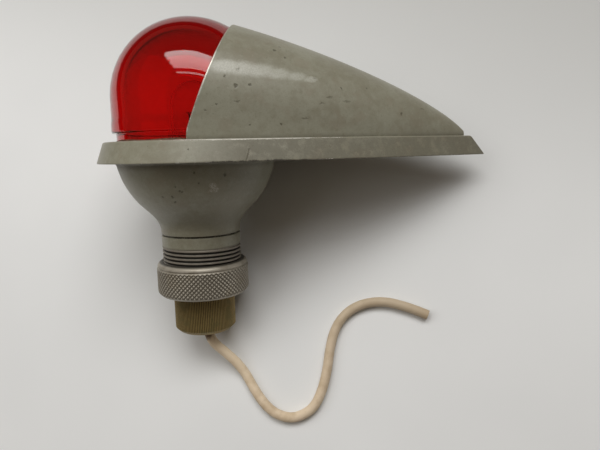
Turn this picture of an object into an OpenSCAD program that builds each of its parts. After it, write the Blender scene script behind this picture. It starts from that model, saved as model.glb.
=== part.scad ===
// A streamlined aircraft navigation light, lying on its side as it is stored.
// Every piece is drawn upright first: x runs to the tail, z runs up the lamp axis
// to the dome, and z = 0 is the underside of the mounting flange. The module laid()
// then turns the whole lamp down onto its flange edge and its lock ring.

/* [Mounting flange] */
// Length of the teardrop flange, nose to tail
flange_length = 150; // [130:1:170]
// Radius of the flange's round nose
nose_radius = 36; // [35:0.5:40]
// Thickness of the flange
flange_thick = 7.5; // [6:0.1:9]
// How far the flange's side slopes in between its underside and its top
flange_bevel = 2.6; // [1:0.1:3.5]
// Half angle of the tail point, in degrees
tip_angle = 27; // [25:0.5:30]

/* [Glass dome] */
// Outer radius of the glass
glass_radius = 29.9; // [28:0.1:30.4]
// Height of the dome's top above the underside of the flange
dome_top = 52.1; // [48:0.1:56]
// Wall of the glass
glass_wall = 3.5; // [2.5:0.1:4.5]
// How far the foot of the glass is stepped in under its bead
foot_step = 1.3; // [1:0.1:2]
// Height of the gap that shows between the bead and the flange
foot_show = 3.1; // [2:0.1:4]

/* [Tail cowl] */
// Height that the cowl's back line starts from, above the flange
cowl_rise = 45.2; // [40:0.1:48]
// How soon the back line falls: a larger number holds it up for longer
cowl_fall = 1.2; // [1.1:0.05:1.6]
// How round the back line ends at the tail
cowl_round = 0.75; // [0.6:0.05:0.9]
// Wall of the cowl
cowl_wall = 1.8; // [1.4:0.1:2.2]
// Wall of the cowl's thinned rim, where it laps the glass
rim_wall = 0.85; // [0.6:0.05:1.0]
// Height over which the front edge stands upright, before it leans back
rim_foot = 2.7; // [1:0.1:4]
// How far the front edge leans back for each millimetre of height above that
rim_lean = 0.4; // [0.3:0.01:0.45]

/* [Bowl and neck] */
// Outer radius of the neck, over its thread
neck_radius = 15; // [14.5:0.1:15.5]
// Wall of the neck, from its bore out to the top of its thread
neck_wall = 2.5; // [2.3:0.1:3]
// How far the neck's end lies below the flange
neck_end = 46; // [44:0.5:48]
// Pitch of the neck's thread
thread_pitch = 1.5; // [1.25:0.25:1.75]
// Depth of the neck's thread
thread_depth = 0.85; // [0.6:0.05:0.9]

/* [Lock ring] */
// Wall of the lock ring, from the thread out to the top of its knurling
ring_wall = 2.6; // [2.2:0.1:3.2]
// Height of the lock ring
ring_height = 12.8; // [12:0.1:14]
// Thickness of the lip that holds the lampholder
ring_lip = 2.2; // [1.8:0.1:2.6]

/* [Gland nut] */
// Wall of the gland nut, from the stem out to the top of its knurling
nut_side = 1.8; // [1.6:0.1:2.2]
// Height of the gland nut
nut_height = 14.8; // [13:0.1:16]
// Radius of the hole that the lead leaves by
nut_mouth = 4.6; // [4:0.1:5.2]

/* [Lampholder] */
// Radius of the threaded stem
stem_radius = 10; // [9.6:0.1:10.2]
// Radius of the bore that takes the sealing grommet
grommet_bore = 7; // [6:0.1:7.5]
// Inner radius of the bayonet socket
socket_bore = 7.65; // [7.6:0.01:7.8]
// Wall of the bayonet socket
socket_wall = 0.95; // [0.8:0.05:1.1]

/* [Bulb] */
// Radius of the bulb's glass
bulb_radius = 9; // [8:0.1:10.5]
// Height of the bulb's tip above the underside of the flange
bulb_top = 30; // [26:0.5:36]
// How far the bulb pushes in to clear its bayonet hooks
bulb_push = 1.3; // [1:0.1:1.6]

/* [Lead] */
// Diameter of the lead, over its insulation
lead_dia = 3.9; // [3.5:0.1:4.5]

/* [Fits] */
// Radial clearance of the turning and sliding fits
run_fit = 0.05; // [0.02:0.01:0.09]
// Gap between faces that rest on each other but belong to different moving pieces
face_gap = 0.05; // [0.02:0.01:0.1]

/* [Pose] */
// How far the lamp rolls about its own axis as it lies, in degrees
roll = 13.1; // [10:0.1:16]

/* [Hidden] */
$fn = 96;
far = 400;
eps = 0.01;

// The flange's plan: a nose circle and two long arcs that meet it tangentially.
reach = flange_length - nose_radius;
arc = (reach * reach - nose_radius * nose_radius)
    / (2 * (reach * sin(tip_angle) - nose_radius));
arc_x = reach - arc * sin(tip_angle);
arc_y = arc * cos(tip_angle);
tangent = atan2(-arc_x, arc_y);
tip_trim = 0.6;

// The cowl's plan: the same kind of teardrop, set in from the flange's top edge.
cowl_gap = 0.15;
bead_out = 0.3;
cowl_front = glass_radius + bead_out + cowl_gap + rim_wall;
cowl_reach = reach - 8.2;
cowl_tip = tip_angle - 0.5;
cowl_arc = (cowl_reach * cowl_reach - cowl_front * cowl_front)
    / (2 * (cowl_reach * sin(cowl_tip) - cowl_front));
cowl_cx = cowl_reach - cowl_arc * sin(cowl_tip);
cowl_cy = cowl_arc * cos(cowl_tip);
lap_end = 19;

// Glass.
glass_z = dome_top - glass_radius;
foot_radius = glass_radius - foot_step;
bead_z = flange_thick + foot_show;
bed = 0.6;
recess_z = 3;
recess_radius = foot_radius + 0.9;
bowl_radius = recess_radius + 0.1;
bowl_mouth = glass_radius - glass_wall - 1.2;

// Neck, ring and nut: each takes its radius from the piece inside it.
neck_bore = neck_radius - neck_wall;
ring_radius = neck_radius + ring_wall;
nut_radius = stem_radius + nut_side;

// Axial places below the flange, all measured down the lamp axis.
ring_bottom = neck_end + 0.8 + 1.8 + ring_lip;
ring_top = ring_bottom - ring_height;
groove_z = 27.4;
thread_top = 32.4;
seal_bottom = neck_end + 0.8;
flange_bottom = seal_bottom + 1.8;
nut_top = ring_bottom + 0.4;
nut_bottom = nut_top + nut_height;
nut_wall = 3.55;
nut_floor = nut_bottom - nut_wall;
washer_thick = 1.2;
stem_end = nut_floor - 2.2;
seat_z = stem_end - 7.7;
holder_flange = neck_radius - 0.2;
spigot = neck_bore - run_fit;
spigot_top = neck_end - 5;
key_width = 2.8;
slot_width = 3;
socket_radius = socket_bore + socket_wall;
socket_floor = neck_end;
socket_top = 6;
block_top = 27;
chamber_floor = 41.5;
chamber_bore = 3;
disc_thick = 1;
lead_radius = lead_dia / 2;
lead_start = neck_end + 5.5;
lead_bend = nut_bottom - 1.3;
core_radius = 0.9;
ring_chamfer = 1.1;
nut_chamfer = 1.6;

// Bulb.
contact_z = 21.85;
cap_bottom = 20.8;
cap_top = 4.5;
cap_radius = socket_bore - 0.09;
pin_z = 13.8;
pin_radius = 1;
slot_half = 1.15;
filament_z = 17;
filament_turn = 3;

// Screws that hold the cowl, from below, and holes for the screws that hold the lamp.
screw_x = glass_radius + 0.1;
screw_y = half_width(screw_x, 0) - 3.9;
cowl_screw_at = [[screw_x, screw_y], [screw_x, -screw_y], [cowl_reach - 11.4, 0]];
mount_at = [[nose_radius + 8, 17], [nose_radius + 8, -17], [reach - 34, 0]];
screw_radius = 1.5;
boss_radius = 3.2;
boss_height = 6;
screw_bite = 4.4;
mount_hole = 2;
mount_depth = 5.5;

// The lie: the plane that touches the flange's lower edge and the ring or the nut.
edge = arc_x * sin(roll) - arc_y * cos(roll) + arc;
lean = atan(min((edge - ring_radius) / (ring_bottom - ring_chamfer),
    (edge - ring_radius + ring_chamfer) / ring_bottom,
    (edge - nut_radius) / (nut_bottom - nut_chamfer),
    (edge - nut_radius + nut_chamfer) / nut_bottom));
yaw = -atan2(sin(roll) * sin(lean), cos(roll));

function lay0(p) = let(
    h = p[0] * cos(roll) - p[1] * sin(roll),
    d = p[0] * sin(roll) + p[1] * cos(roll),
    y = p[2] * cos(lean) + d * sin(lean),
    z = p[2] * sin(lean) - d * cos(lean)
) [h * cos(yaw) - y * sin(yaw), h * sin(yaw) + y * cos(yaw), z + edge * cos(lean)];

// Middle of the laid lamp in plan, from its nose, tail, dome and gland nut.
function nose_at(h) = let(s = h > 0 ? nose_radius - flange_bevel : nose_radius)
    lay0([0, 0, h])[0] - s * norm([lay0([1, 0, 0])[0] - lay0([0, 0, 0])[0],
        lay0([0, 1, 0])[0] - lay0([0, 0, 0])[0]]);
x_low = min(nose_at(0), nose_at(flange_thick));
x_high = lay0([reach - tip_trim, 0, 0])[0];
y_high = lay0([0, 0, glass_z])[1] + glass_radius;
end_rise = norm([lay0([1, 0, 0])[1] - lay0([0, 0, 0])[1],
    lay0([0, 1, 0])[1] - lay0([0, 0, 0])[1]]);
y_low = lay0([0, 0, -nut_bottom])[1] - (nut_radius - nut_chamfer) * end_rise;
mid = [(x_low + x_high) / 2, (y_low + y_high) / 2];

function lay(p) = lay0(p) - [mid[0], mid[1], 0];

module laid() {
    translate([-mid[0], -mid[1], edge * cos(lean)])
        rotate([0, 0, yaw])
            rotate([lean - 90, 0, 0])
                rotate([0, 0, roll])
                    children();
}

module pipe(r, bore, z0, z1) {
    translate([0, 0, z0])
        difference() {
            cylinder(r = r, h = z1 - z0);
            translate([0, 0, -1])
                cylinder(r = bore, h = z1 - z0 + 2);
        }
}

// Drafted teardrop: the nose cone and the two long cones meet on two radial planes.
module teardrop(h, inset) {
    wedge_x = far * sin(tangent);
    wedge_y = far * cos(tangent);
    intersection() {
        cylinder(r1 = nose_radius, r2 = nose_radius - inset, h = h);
        translate([0, 0, -1])
            linear_extrude(height = h + 2)
                polygon([[0, 0], [wedge_x, wedge_y], [-far, wedge_y],
                    [-far, -wedge_y], [wedge_x, -wedge_y]]);
    }
    intersection() {
        translate([arc_x, arc_y, 0])
            cylinder(r1 = arc, r2 = arc - inset, h = h);
        translate([arc_x, -arc_y, 0])
            cylinder(r1 = arc, r2 = arc - inset, h = h);
        translate([0, 0, -1])
            linear_extrude(height = h + 2)
                polygon([[0, 0], [wedge_x, wedge_y], [reach - tip_trim, wedge_y],
                    [reach - tip_trim, -wedge_y], [wedge_x, -wedge_y]]);
    }
}

// The bowl's curves: share of the way from the neck out to the rim, and depth.
bowl_outside = [[1, 0], [0.973, 2], [0.877, 6.2], [0.788, 9], [0.678, 11.8], [0.52, 14.9],
    [0.356, 17.4], [0.192, 19.7], [0.068, 22], [0.014, 24.4], [0, 26.4]];
bowl_inside = [[0.937, 5.5], [0.764, 10.6], [0.512, 14.6], [0.26, 18.2], [0, 21.8]];

function thread_teeth() = floor((neck_end - thread_top - 0.6) / thread_pitch);

module body_casting() {
    color([0.34, 0.37, 0.33])
        difference() {
            union() {
                teardrop(flange_thick, flange_bevel);
                rotate_extrude()
                    polygon(concat(
                        [[0, 1], [bowl_radius, 1]],
                        [for (p = bowl_outside) [neck_radius + (bowl_radius - neck_radius) * p[0], -p[1]]],
                        [[neck_radius, -groove_z + 0.6], [neck_radius - 0.9, -groove_z + 0.4],
                         [neck_radius - 0.9, -groove_z - 0.4], [neck_radius, -groove_z - 0.6]],
                        [for (i = [0 : thread_teeth() - 1], k = [0 : 2])
                            [neck_radius - (k == 1 ? thread_depth : 0),
                             -thread_top - i * thread_pitch - k * thread_pitch * 0.48]],
                        [[neck_radius, -neck_end + 0.5], [neck_radius - 0.5, -neck_end],
                         [0, -neck_end]]));
            }
            rotate_extrude()
                polygon(concat(
                    [[0, flange_thick + 1], [recess_radius, flange_thick + 1],
                     [recess_radius, recess_z], [bowl_mouth, recess_z]],
                    [for (p = bowl_inside) [neck_bore + (bowl_mouth - neck_bore) * p[0], -p[1]]],
                    [[neck_bore, -neck_end - 1], [0, -neck_end - 1]]));
            translate([0, -slot_width / 2, -neck_end - 1])
                cube([neck_radius - 0.9, slot_width, 4.2]);
            for (p = cowl_screw_at)
                translate([p[0], p[1], -1]) {
                    cylinder(r = screw_radius + 0.2, h = flange_thick + 2);
                    cylinder(r1 = screw_radius + 2.4, r2 = screw_radius + 0.2, h = 2.8);
                }
            for (p = mount_at)
                translate([p[0], p[1], -1])
                    cylinder(r = mount_hole, h = mount_depth + 1);
        }
}

// Cowl surface: arches across the lamp, with upright sides that fade out to the tail.
function half_width(x, w) = x < 3.9
    ? sqrt(max(0, pow(cowl_front - w, 2) - x * x))
    : sqrt(pow(cowl_arc - w, 2) - pow(x - cowl_cx, 2)) - cowl_cy;
function back_line(x, w) = (cowl_rise - w)
    * pow(max(0, 1 - pow(x / (cowl_reach - 2.3 * w), cowl_fall)), cowl_round);
function side_share(x) = 0.33 * (1 - x / cowl_reach);
function arch(x, a, w) = let(
    b = half_width(x, w),
    h = back_line(x, w),
    s = h * side_share(x)
) a < 0.15 ? [x, b, flange_thick + s * a / 0.15]
    : a > 0.85 ? [x, -b, flange_thick + s * (1 - a) / 0.15]
    : let(t = (a - 0.15) / 0.7 * 180)
        [x, b * cos(t), flange_thick + s + (h - s) * sin(t)];
// The front edge: upright at its foot, then leaning back, with a soft bend between.
rim_front = 0.4;
rim_bend = 0.3;
function rim_x(a) = let(
    h = arch(0.5 + 14 * sin(180 * a), a, 0)[2] - flange_thick,
    u = rim_lean * (h - rim_foot)
) rim_front + (u + sqrt(u * u + rim_bend)) / 2;
cowl_rows = 28;
cowl_cols = 30;
function wall_at(x) = rim_wall + (cowl_wall - rim_wall)
    * (x < 12 ? 0 : x > lap_end ? 1 : (x - 12) / (lap_end - 12));
function cowl_point(i, j, inner) = let(
    a = j / cowl_cols,
    x0 = rim_x(a),
    s = i / cowl_rows,
    x1 = inner ? cowl_reach - 2.3 * cowl_wall - 1.6 : cowl_reach - 1.2,
    x = x0 + (x1 - x0) * (s < 0.5 ? s * 0.95 : s * 1.05 - 0.05)
) arch(x, a, inner ? wall_at(x) : 0);

module cowl_shell() {
    m = cowl_cols + 1;
    n = (cowl_rows + 1) * m;
    outer = [for (i = [0 : cowl_rows], j = [0 : cowl_cols]) cowl_point(i, j, false)];
    inner = [for (i = [0 : cowl_rows], j = [0 : cowl_cols]) cowl_point(i, j, true)];
    skin = [for (i = [0 : cowl_rows - 1], j = [0 : cowl_cols - 1], k = [0, 1]) let(
        a = i * m + j
    ) k == 0 ? [a, a + m, a + m + 1] : [a, a + m + 1, a + 1]];
    lining = [for (f = skin) [n + f[2], n + f[1], n + f[0]]];
    rim = [for (j = [0 : cowl_cols - 1], k = [0, 1])
        k == 0 ? [j, j + 1, n + j + 1] : [j, n + j + 1, n + j]];
    left = [for (i = [0 : cowl_rows - 1], k = [0, 1])
        k == 0 ? [i * m, n + i * m, n + (i + 1) * m] : [i * m, n + (i + 1) * m, (i + 1) * m]];
    right = [for (i = [0 : cowl_rows - 1], k = [0, 1]) let(a = i * m + cowl_cols)
        k == 0 ? [a, a + m, n + a + m] : [a, n + a + m, n + a]];
    last = cowl_rows * m;
    tail = [[last, n + last, n + last + cowl_cols], [last, n + last + cowl_cols, last + cowl_cols]];
    half = cowl_cols / 2;
    cap = [for (j = [0 : half - 1], k = [0, 1]) if (j < half - 1 || k == 1) let(
        b = last + cowl_cols - j
    ) k == 0 ? [last + j, b - 1, last + j + 1] : [last + j, b, b - 1]];
    inner_cap = [for (f = cap) [n + f[2], n + f[1], n + f[0]]];
    polyhedron(points = concat(outer, inner),
        faces = concat(skin, lining, rim, left, right, tail, cap, inner_cap));
}

module cowl() {
    color([0.36, 0.39, 0.35])
        difference() {
            union() {
                cowl_shell();
                for (p = cowl_screw_at)
                    translate([p[0], p[1], flange_thick])
                        cylinder(r = boss_radius, h = boss_height);
            }
            for (p = cowl_screw_at)
                translate([p[0], p[1], flange_thick - 1])
                    cylinder(r = screw_radius, h = screw_bite + 1.4);
        }
}

module cowl_screws() {
    color([0.6, 0.6, 0.58])
        for (p = cowl_screw_at)
            translate([p[0], p[1], 0])
                difference() {
                    union() {
                        cylinder(r = screw_radius, h = flange_thick + screw_bite);
                        cylinder(r1 = screw_radius + 1.4, r2 = screw_radius, h = 1.6);
                    }
                    translate([-4, -0.4, -1])
                        cube([8, 0.8, 1.8]);
                }
}

module glass_dome() {
    color([0.55, 0.03, 0.06, 0.6])
        difference() {
            union() {
                translate([0, 0, glass_z])
                    intersection() {
                        sphere(r = glass_radius);
                        cylinder(r = glass_radius + 1, h = glass_radius + 1);
                    }
                translate([0, 0, bead_z + 4])
                    cylinder(r = glass_radius, h = glass_z - bead_z - 4);
                translate([0, 0, bead_z])
                    cylinder(r = glass_radius + bead_out, h = 4);
                translate([0, 0, recess_z + bed])
                    cylinder(r = foot_radius, h = bead_z - recess_z - bed);
            }
            union() {
                translate([0, 0, glass_z])
                    intersection() {
                        sphere(r = glass_radius - glass_wall);
                        cylinder(r = glass_radius, h = glass_radius);
                    }
                cylinder(r = glass_radius - glass_wall, h = glass_z);
            }
        }
}

module glass_bedding() {
    color([0.36, 0.2, 0.13])
        rotate_extrude()
            polygon([[glass_radius - glass_wall, recess_z], [recess_radius, recess_z],
                [recess_radius, flange_thick + 0.1], [foot_radius, flange_thick + 0.5],
                [foot_radius, recess_z + bed], [glass_radius - glass_wall, recess_z + bed]]);
}

module holder_seal() {
    color([0.1, 0.1, 0.1])
        difference() {
            pipe(neck_radius - 0.3, spigot + 0.1, -seal_bottom, -neck_end - face_gap);
            translate([0, -slot_width / 2, -seal_bottom - 1])
                cube([far, slot_width, 3]);
        }
}

module holder_base() {
    color([0.6, 0.48, 0.25])
        difference() {
            union() {
                translate([0, 0, -seal_bottom])
                    cylinder(r = spigot, h = seal_bottom - spigot_top);
                translate([0, 0, -flange_bottom + face_gap])
                    cylinder(r = holder_flange, h = flange_bottom - seal_bottom - face_gap);
                translate([0, 0, -stem_end])
                    cylinder(r = stem_radius, h = stem_end - seal_bottom);
                translate([spigot - 1, -key_width / 2, -seal_bottom])
                    cube([neck_radius - 1.3 - spigot + 1, key_width, 3.6]);
            }
            translate([0, 0, -socket_floor])
                cylinder(r = socket_radius, h = 20);
            translate([0, 0, -seat_z])
                cylinder(r = 3.2, h = 20);
            translate([0, 0, -stem_end - 1])
                cylinder(r = grommet_bore, h = stem_end - seat_z + 1);
        }
}

// Two hooked slots let the bulb's pins in from the top and hold them.
module socket_tube() {
    sweep = 32;
    slot_low = -pin_z - pin_radius - bulb_push - 0.15;
    hook_top = -pin_z + pin_radius + face_gap;
    color([0.66, 0.54, 0.3])
        difference() {
            pipe(socket_radius, socket_bore, -socket_floor, -socket_top);
            for (s = [0, 180])
                rotate([0, 0, s]) {
                    rotate([0, 0, sweep])
                        translate([socket_bore - 1.5, -slot_half, slot_low - 0.15])
                            cube([4, slot_half * 2, 12]);
                    translate([socket_bore - 1.5, -slot_half, slot_low - 0.15])
                        cube([4, slot_half * 2, hook_top - slot_low + 0.15]);
                    translate([0, 0, slot_low])
                        rotate_extrude(angle = sweep)
                            translate([socket_bore - 1, 0])
                                square([4, 2 * pin_radius + 0.25]);
                }
        }
}

module insulator_block() {
    color([0.22, 0.12, 0.08])
        difference() {
            union() {
                translate([0, 0, -socket_floor])
                    cylinder(r = socket_bore, h = socket_floor - block_top);
                translate([0, 0, -socket_floor - 2.5])
                    cylinder(r = 3.2, h = 3);
            }
            translate([0, 0, -chamber_floor])
                cylinder(r = chamber_bore, h = 30);
            translate([0, 0, -socket_floor - 3])
                cylinder(r = 1.6, h = 10);
        }
}

module guide_disc() {
    color([0.42, 0.25, 0.14])
        pipe(socket_bore, 2.05, -block_top, -block_top + disc_thick);
}

module terminal_post() {
    color([0.7, 0.58, 0.33])
        difference() {
            union() {
                translate([0, 0, -chamber_floor])
                    cylinder(r = chamber_bore, h = 1.2);
                translate([0, 0, -socket_floor - 1.5])
                    cylinder(r = 1.6, h = socket_floor + 2 - chamber_floor);
            }
            translate([0, 0, -socket_floor - 2])
                cylinder(r = core_radius, h = 3);
        }
}

module lead_core() {
    color([0.72, 0.42, 0.26])
        translate([0, 0, -lead_start])
            cylinder(r = core_radius, h = lead_start - socket_floor + 1);
}

// One unbroken wire: curls of six-sided section, eight rings to a turn.
spring_wire = 0.225;
spring_radius = 2.3;
spring_turns = 7;
spring_low = chamber_floor - 1.2 - spring_wire;
spring_high = 30.2 + spring_wire;
spring_rise = (spring_low - spring_high) / spring_turns;
echo(least_spring_gap = spring_rise - 2 * spring_wire);

module contact_spring() {
    rings = spring_turns * 8;
    pts = [for (i = [0 : rings], k = [0 : 5]) let(
        t = i * 45,
        r = spring_radius + spring_wire * cos(k * 60)
    ) [r * cos(t), r * sin(t),
        -spring_low + spring_rise * i / 8 + spring_wire * sin(k * 60)]];
    side = [for (i = [0 : rings - 1], k = [0 : 5], h = [0, 1]) let(
        a = i * 6 + k,
        b = i * 6 + (k + 1) % 6
    ) h == 0 ? [a, b, b + 6] : [a, b + 6, a + 6]];
    color([0.7, 0.7, 0.68])
        polyhedron(points = pts, faces = concat(side,
            [for (k = [1 : 4]) [0, k + 1, k]],
            [for (k = [1 : 4]) [rings * 6, rings * 6 + k, rings * 6 + k + 1]]));
}

module contact_plunger() {
    color([0.74, 0.6, 0.34]) {
        translate([0, 0, -30.15])
            cylinder(r = chamber_bore - run_fit, h = 1.8);
        translate([0, 0, -28.36])
            cylinder(r = 2, h = 28.36 - contact_z - face_gap - 0.6);
        translate([0, 0, -contact_z - face_gap - 0.61])
            cylinder(r1 = 2, r2 = 1.4, h = 0.61);
    }
}

module bulb_cap() {
    color([0.68, 0.56, 0.32])
        difference() {
            translate([0, 0, -cap_bottom])
                cylinder(r = cap_radius, h = cap_bottom - cap_top);
            translate([0, 0, -cap_bottom + 0.4])
                cylinder(r = cap_radius - 0.4, h = 20);
            translate([0, 0, -cap_bottom - 1])
                cylinder(r = 4.6, h = 3);
        }
}

module bulb_pins() {
    color([0.7, 0.58, 0.34])
        for (s = [0, 180])
            rotate([0, 0, s])
                translate([cap_radius - 0.4, 0, -pin_z])
                    rotate([0, 90, 0])
                        cylinder(r = pin_radius, h = 1.3);
}

module bulb_base_insulator() {
    color([0.07, 0.07, 0.08])
        difference() {
            union() {
                translate([0, 0, -cap_bottom])
                    cylinder(r = 4.6, h = 0.5);
                translate([0, 0, -cap_bottom + 0.4])
                    cylinder(r = cap_radius - 0.4, h = 2);
            }
            translate([0, 0, -cap_bottom - 1])
                cylinder(r = 1.2, h = 4);
        }
}

module bulb_contact() {
    color([0.62, 0.62, 0.62]) {
        translate([0, 0, -contact_z])
            cylinder(r1 = 1.8, r2 = 2.4, h = contact_z - cap_bottom);
        translate([0, 0, -cap_bottom])
            cylinder(r = 1.2, h = 2.4);
    }
}

module bulb_glass() {
    r = cap_radius - 0.5;
    shoulder = 1.5;
    top = bulb_top - bulb_radius;
    color([0.85, 0.88, 0.88, 0.35])
        difference() {
            union() {
                translate([0, 0, -11])
                    cylinder(r = r, h = 11 - cap_top + 0.4);
                translate([0, 0, -cap_top + 0.4])
                    cylinder(r1 = r, r2 = bulb_radius, h = cap_top - 0.4 + shoulder);
                translate([0, 0, shoulder])
                    cylinder(r = bulb_radius, h = top - shoulder);
                translate([0, 0, top])
                    intersection() {
                        sphere(r = bulb_radius);
                        cylinder(r = far, h = far);
                    }
            }
            translate([0, 0, -12])
                cylinder(r = r - 0.6, h = 12 - cap_top + 0.4);
            translate([0, 0, -cap_top + 0.39])
                cylinder(r1 = r - 0.6, r2 = bulb_radius - 0.6, h = cap_top - 0.38 + shoulder);
            translate([0, 0, shoulder])
                cylinder(r = bulb_radius - 0.6, h = top - shoulder + eps);
            translate([0, 0, top])
                intersection() {
                    sphere(r = bulb_radius - 0.6);
                    cylinder(r = far, h = far);
                }
        }
}

module bulb_stem() {
    color([0.8, 0.84, 0.84, 0.5]) {
        translate([0, 0, -11])
            cylinder(r1 = cap_radius - 1.15, r2 = 2.6, h = 4);
        translate([0, 0, -7.01])
            cylinder(r = 2.6, h = 11);
    }
}

module bulb_supports() {
    color([0.6, 0.6, 0.6])
        for (a = [30, 150, 270])
            rotate([0, 0, a])
                translate([1.7, 0, 3.5])
                    rotate([0, atan2(filament_turn - 1.7, filament_z - 3.5), 0])
                        cylinder(r = 0.3, h = norm([filament_turn - 1.7, filament_z - 3.5]));
}

module bulb_filament() {
    color([0.45, 0.45, 0.47])
        translate([0, 0, filament_z])
            rotate([0, 0, 30])
                rotate_extrude(angle = 240)
                    translate([filament_turn, 0])
                        circle(r = 0.35);
}

module lock_ring() {
    color([0.5, 0.49, 0.46])
        difference() {
            rotate_extrude()
                polygon([[0, -ring_top], [ring_radius - 1.6, -ring_top],
                    [ring_radius - 0.5, -ring_top - 0.7], [ring_radius - 0.2, -ring_top - 1.7],
                    [ring_radius - 0.6, -ring_top - 2.1], [ring_radius, -ring_top - 2.5],
                    [ring_radius, -ring_bottom + ring_chamfer],
                    [ring_radius - ring_chamfer, -ring_bottom], [0, -ring_bottom]]);
            translate([0, 0, -flange_bottom])
                cylinder(r = neck_radius + run_fit, h = 30);
            translate([0, 0, -ring_bottom - 1])
                cylinder(r = stem_radius + 1, h = 10);
        }
}

module gland_nut() {
    color([0.45, 0.37, 0.2])
        difference() {
            rotate_extrude()
                polygon([[0, -nut_top], [nut_radius - 0.5, -nut_top],
                    [nut_radius, -nut_top - 0.5], [nut_radius, -nut_bottom + nut_chamfer],
                    [nut_radius - nut_chamfer, -nut_bottom], [0, -nut_bottom]]);
            translate([0, 0, -nut_floor])
                cylinder(r = stem_radius + run_fit, h = 30);
            translate([0, 0, -nut_bottom - 1])
                cylinder(r = nut_mouth, h = 10);
            translate([0, 0, -nut_bottom - eps])
                cylinder(r1 = nut_mouth + 0.8, r2 = nut_mouth, h = 0.8);
        }
}

module cable_grommet() {
    color([0.09, 0.09, 0.09])
        pipe(grommet_bore - run_fit, lead_radius + run_fit,
            -nut_floor + washer_thick + face_gap, -seat_z - face_gap);
}

module thrust_washer() {
    color([0.62, 0.5, 0.27])
        pipe(stem_radius - 0.4, lead_radius + 0.25,
            -nut_floor + face_gap, -nut_floor + washer_thick + face_gap);
}

// The lead: straight through the gland, then down to the surface and along it.
// Floor points are plan places in the laid frame, chosen by eye along the lead.
lead_floor = [[-29, -73.8], [-26.2, -78.8], [-23.1, -83.6], [-19.4, -87.7], [-15.6, -90],
    [-11.2, -91], [-6.8, -90.2], [-2.4, -87.6], [0.5, -83.5], [2.8, -78.1], [4.5, -72.1],
    [5.8, -65.9], [7.8, -59.5], [10.8, -54.5], [14.9, -50.9], [19.7, -48.8], [25.1, -48],
    [30.5, -48.5], [35.8, -50.1], [40.8, -52.1], [45.6, -54.4]];
// Where the lead hangs between the gland and the surface: plan place and height.
lead_hang = [[-40.8, -59.7, 8.4], [-36.6, -64.3, 5.9], [-32.2, -69.1, 3.4]];
lead_sides = 8;
function mix(p0, p1, p2, p3, t) = 0.5 * (2 * p1 + (p2 - p0) * t
    + (2 * p0 - 5 * p1 + 4 * p2 - p3) * t * t
    + (3 * p1 - p0 - 3 * p2 + p3) * t * t * t);
lead_rise = lead_radius * cos(180 / lead_sides) + 0.02;
lead_knots = concat(
    [for (z = [lead_start, seat_z, nut_floor, lead_bend]) lay([0, 0, -z])],
    lead_hang, [for (p = lead_floor) [p[0], p[1], lead_rise]]);
function knot(i) = lead_knots[max(0, min(len(lead_knots) - 1, i))];
lead_line = concat(
    [for (i = [0 : 2]) lead_knots[i]],
    [for (i = [3 : len(lead_knots) - 2], k = [0 : 2])
        mix(knot(i - 1), knot(i), knot(i + 1), knot(i + 2), k / 3)],
    [lead_knots[len(lead_knots) - 1]]);

module supply_lead() {
    sides = lead_sides;
    count = len(lead_line);
    pts = [for (i = [0 : count - 1], k = [0 : sides - 1]) let(
        a = lead_line[max(0, i - 1)],
        b = lead_line[min(count - 1, i + 1)],
        t = (b - a) / norm(b - a),
        s = cross(t, [0, 0, 1]) / norm(cross(t, [0, 0, 1])),
        u = cross(s, t),
        c = (k + 0.5) * 360 / sides
    ) lead_line[i] + lead_radius * (s * cos(c) + u * sin(c))];
    side = [for (i = [0 : count - 2], k = [0 : sides - 1], h = [0, 1]) let(
        a = i * sides + k,
        b = i * sides + (k + 1) % sides
    ) h == 0 ? [a, b + sides, b] : [a, a + sides, b + sides]];
    last = (count - 1) * sides;
    color([0.8, 0.74, 0.62])
        polyhedron(points = pts, faces = concat(side,
            [for (k = [1 : sides - 2]) [0, k, k + 1]],
            [for (k = [1 : sides - 2]) [last, last + k + 1, last + k]]));
}

laid() body_casting();
laid() cowl();
laid() cowl_screws();
laid() glass_dome();
laid() glass_bedding();
laid() holder_seal();
laid() holder_base();
laid() socket_tube();
laid() insulator_block();
laid() guide_disc();
laid() terminal_post();
laid() lead_core();
laid() contact_spring();
laid() contact_plunger();
laid() bulb_cap();
laid() bulb_pins();
laid() bulb_base_insulator();
laid() bulb_contact();
laid() bulb_glass();
laid() bulb_stem();
laid() bulb_supports();
laid() bulb_filament();
laid() lock_ring();
laid() gland_nut();
laid() cable_grommet();
laid() thrust_washer();
supply_lead();
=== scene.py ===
# %% [markdown]
# A streamlined navigation light from an old aircraft, lying on its side. The
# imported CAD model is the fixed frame: its bodies, joints and sizes stay as they
# are, and this script dresses it. Most visible pieces are turned or lofted, so
# each is worked out with numpy as a function of two parameters, which keeps it
# exact, and laid down with the tilt of the CAD model.

# %% Load the frame
import bmesh
import bpy
import numpy as np
from mathutils import Matrix


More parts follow.
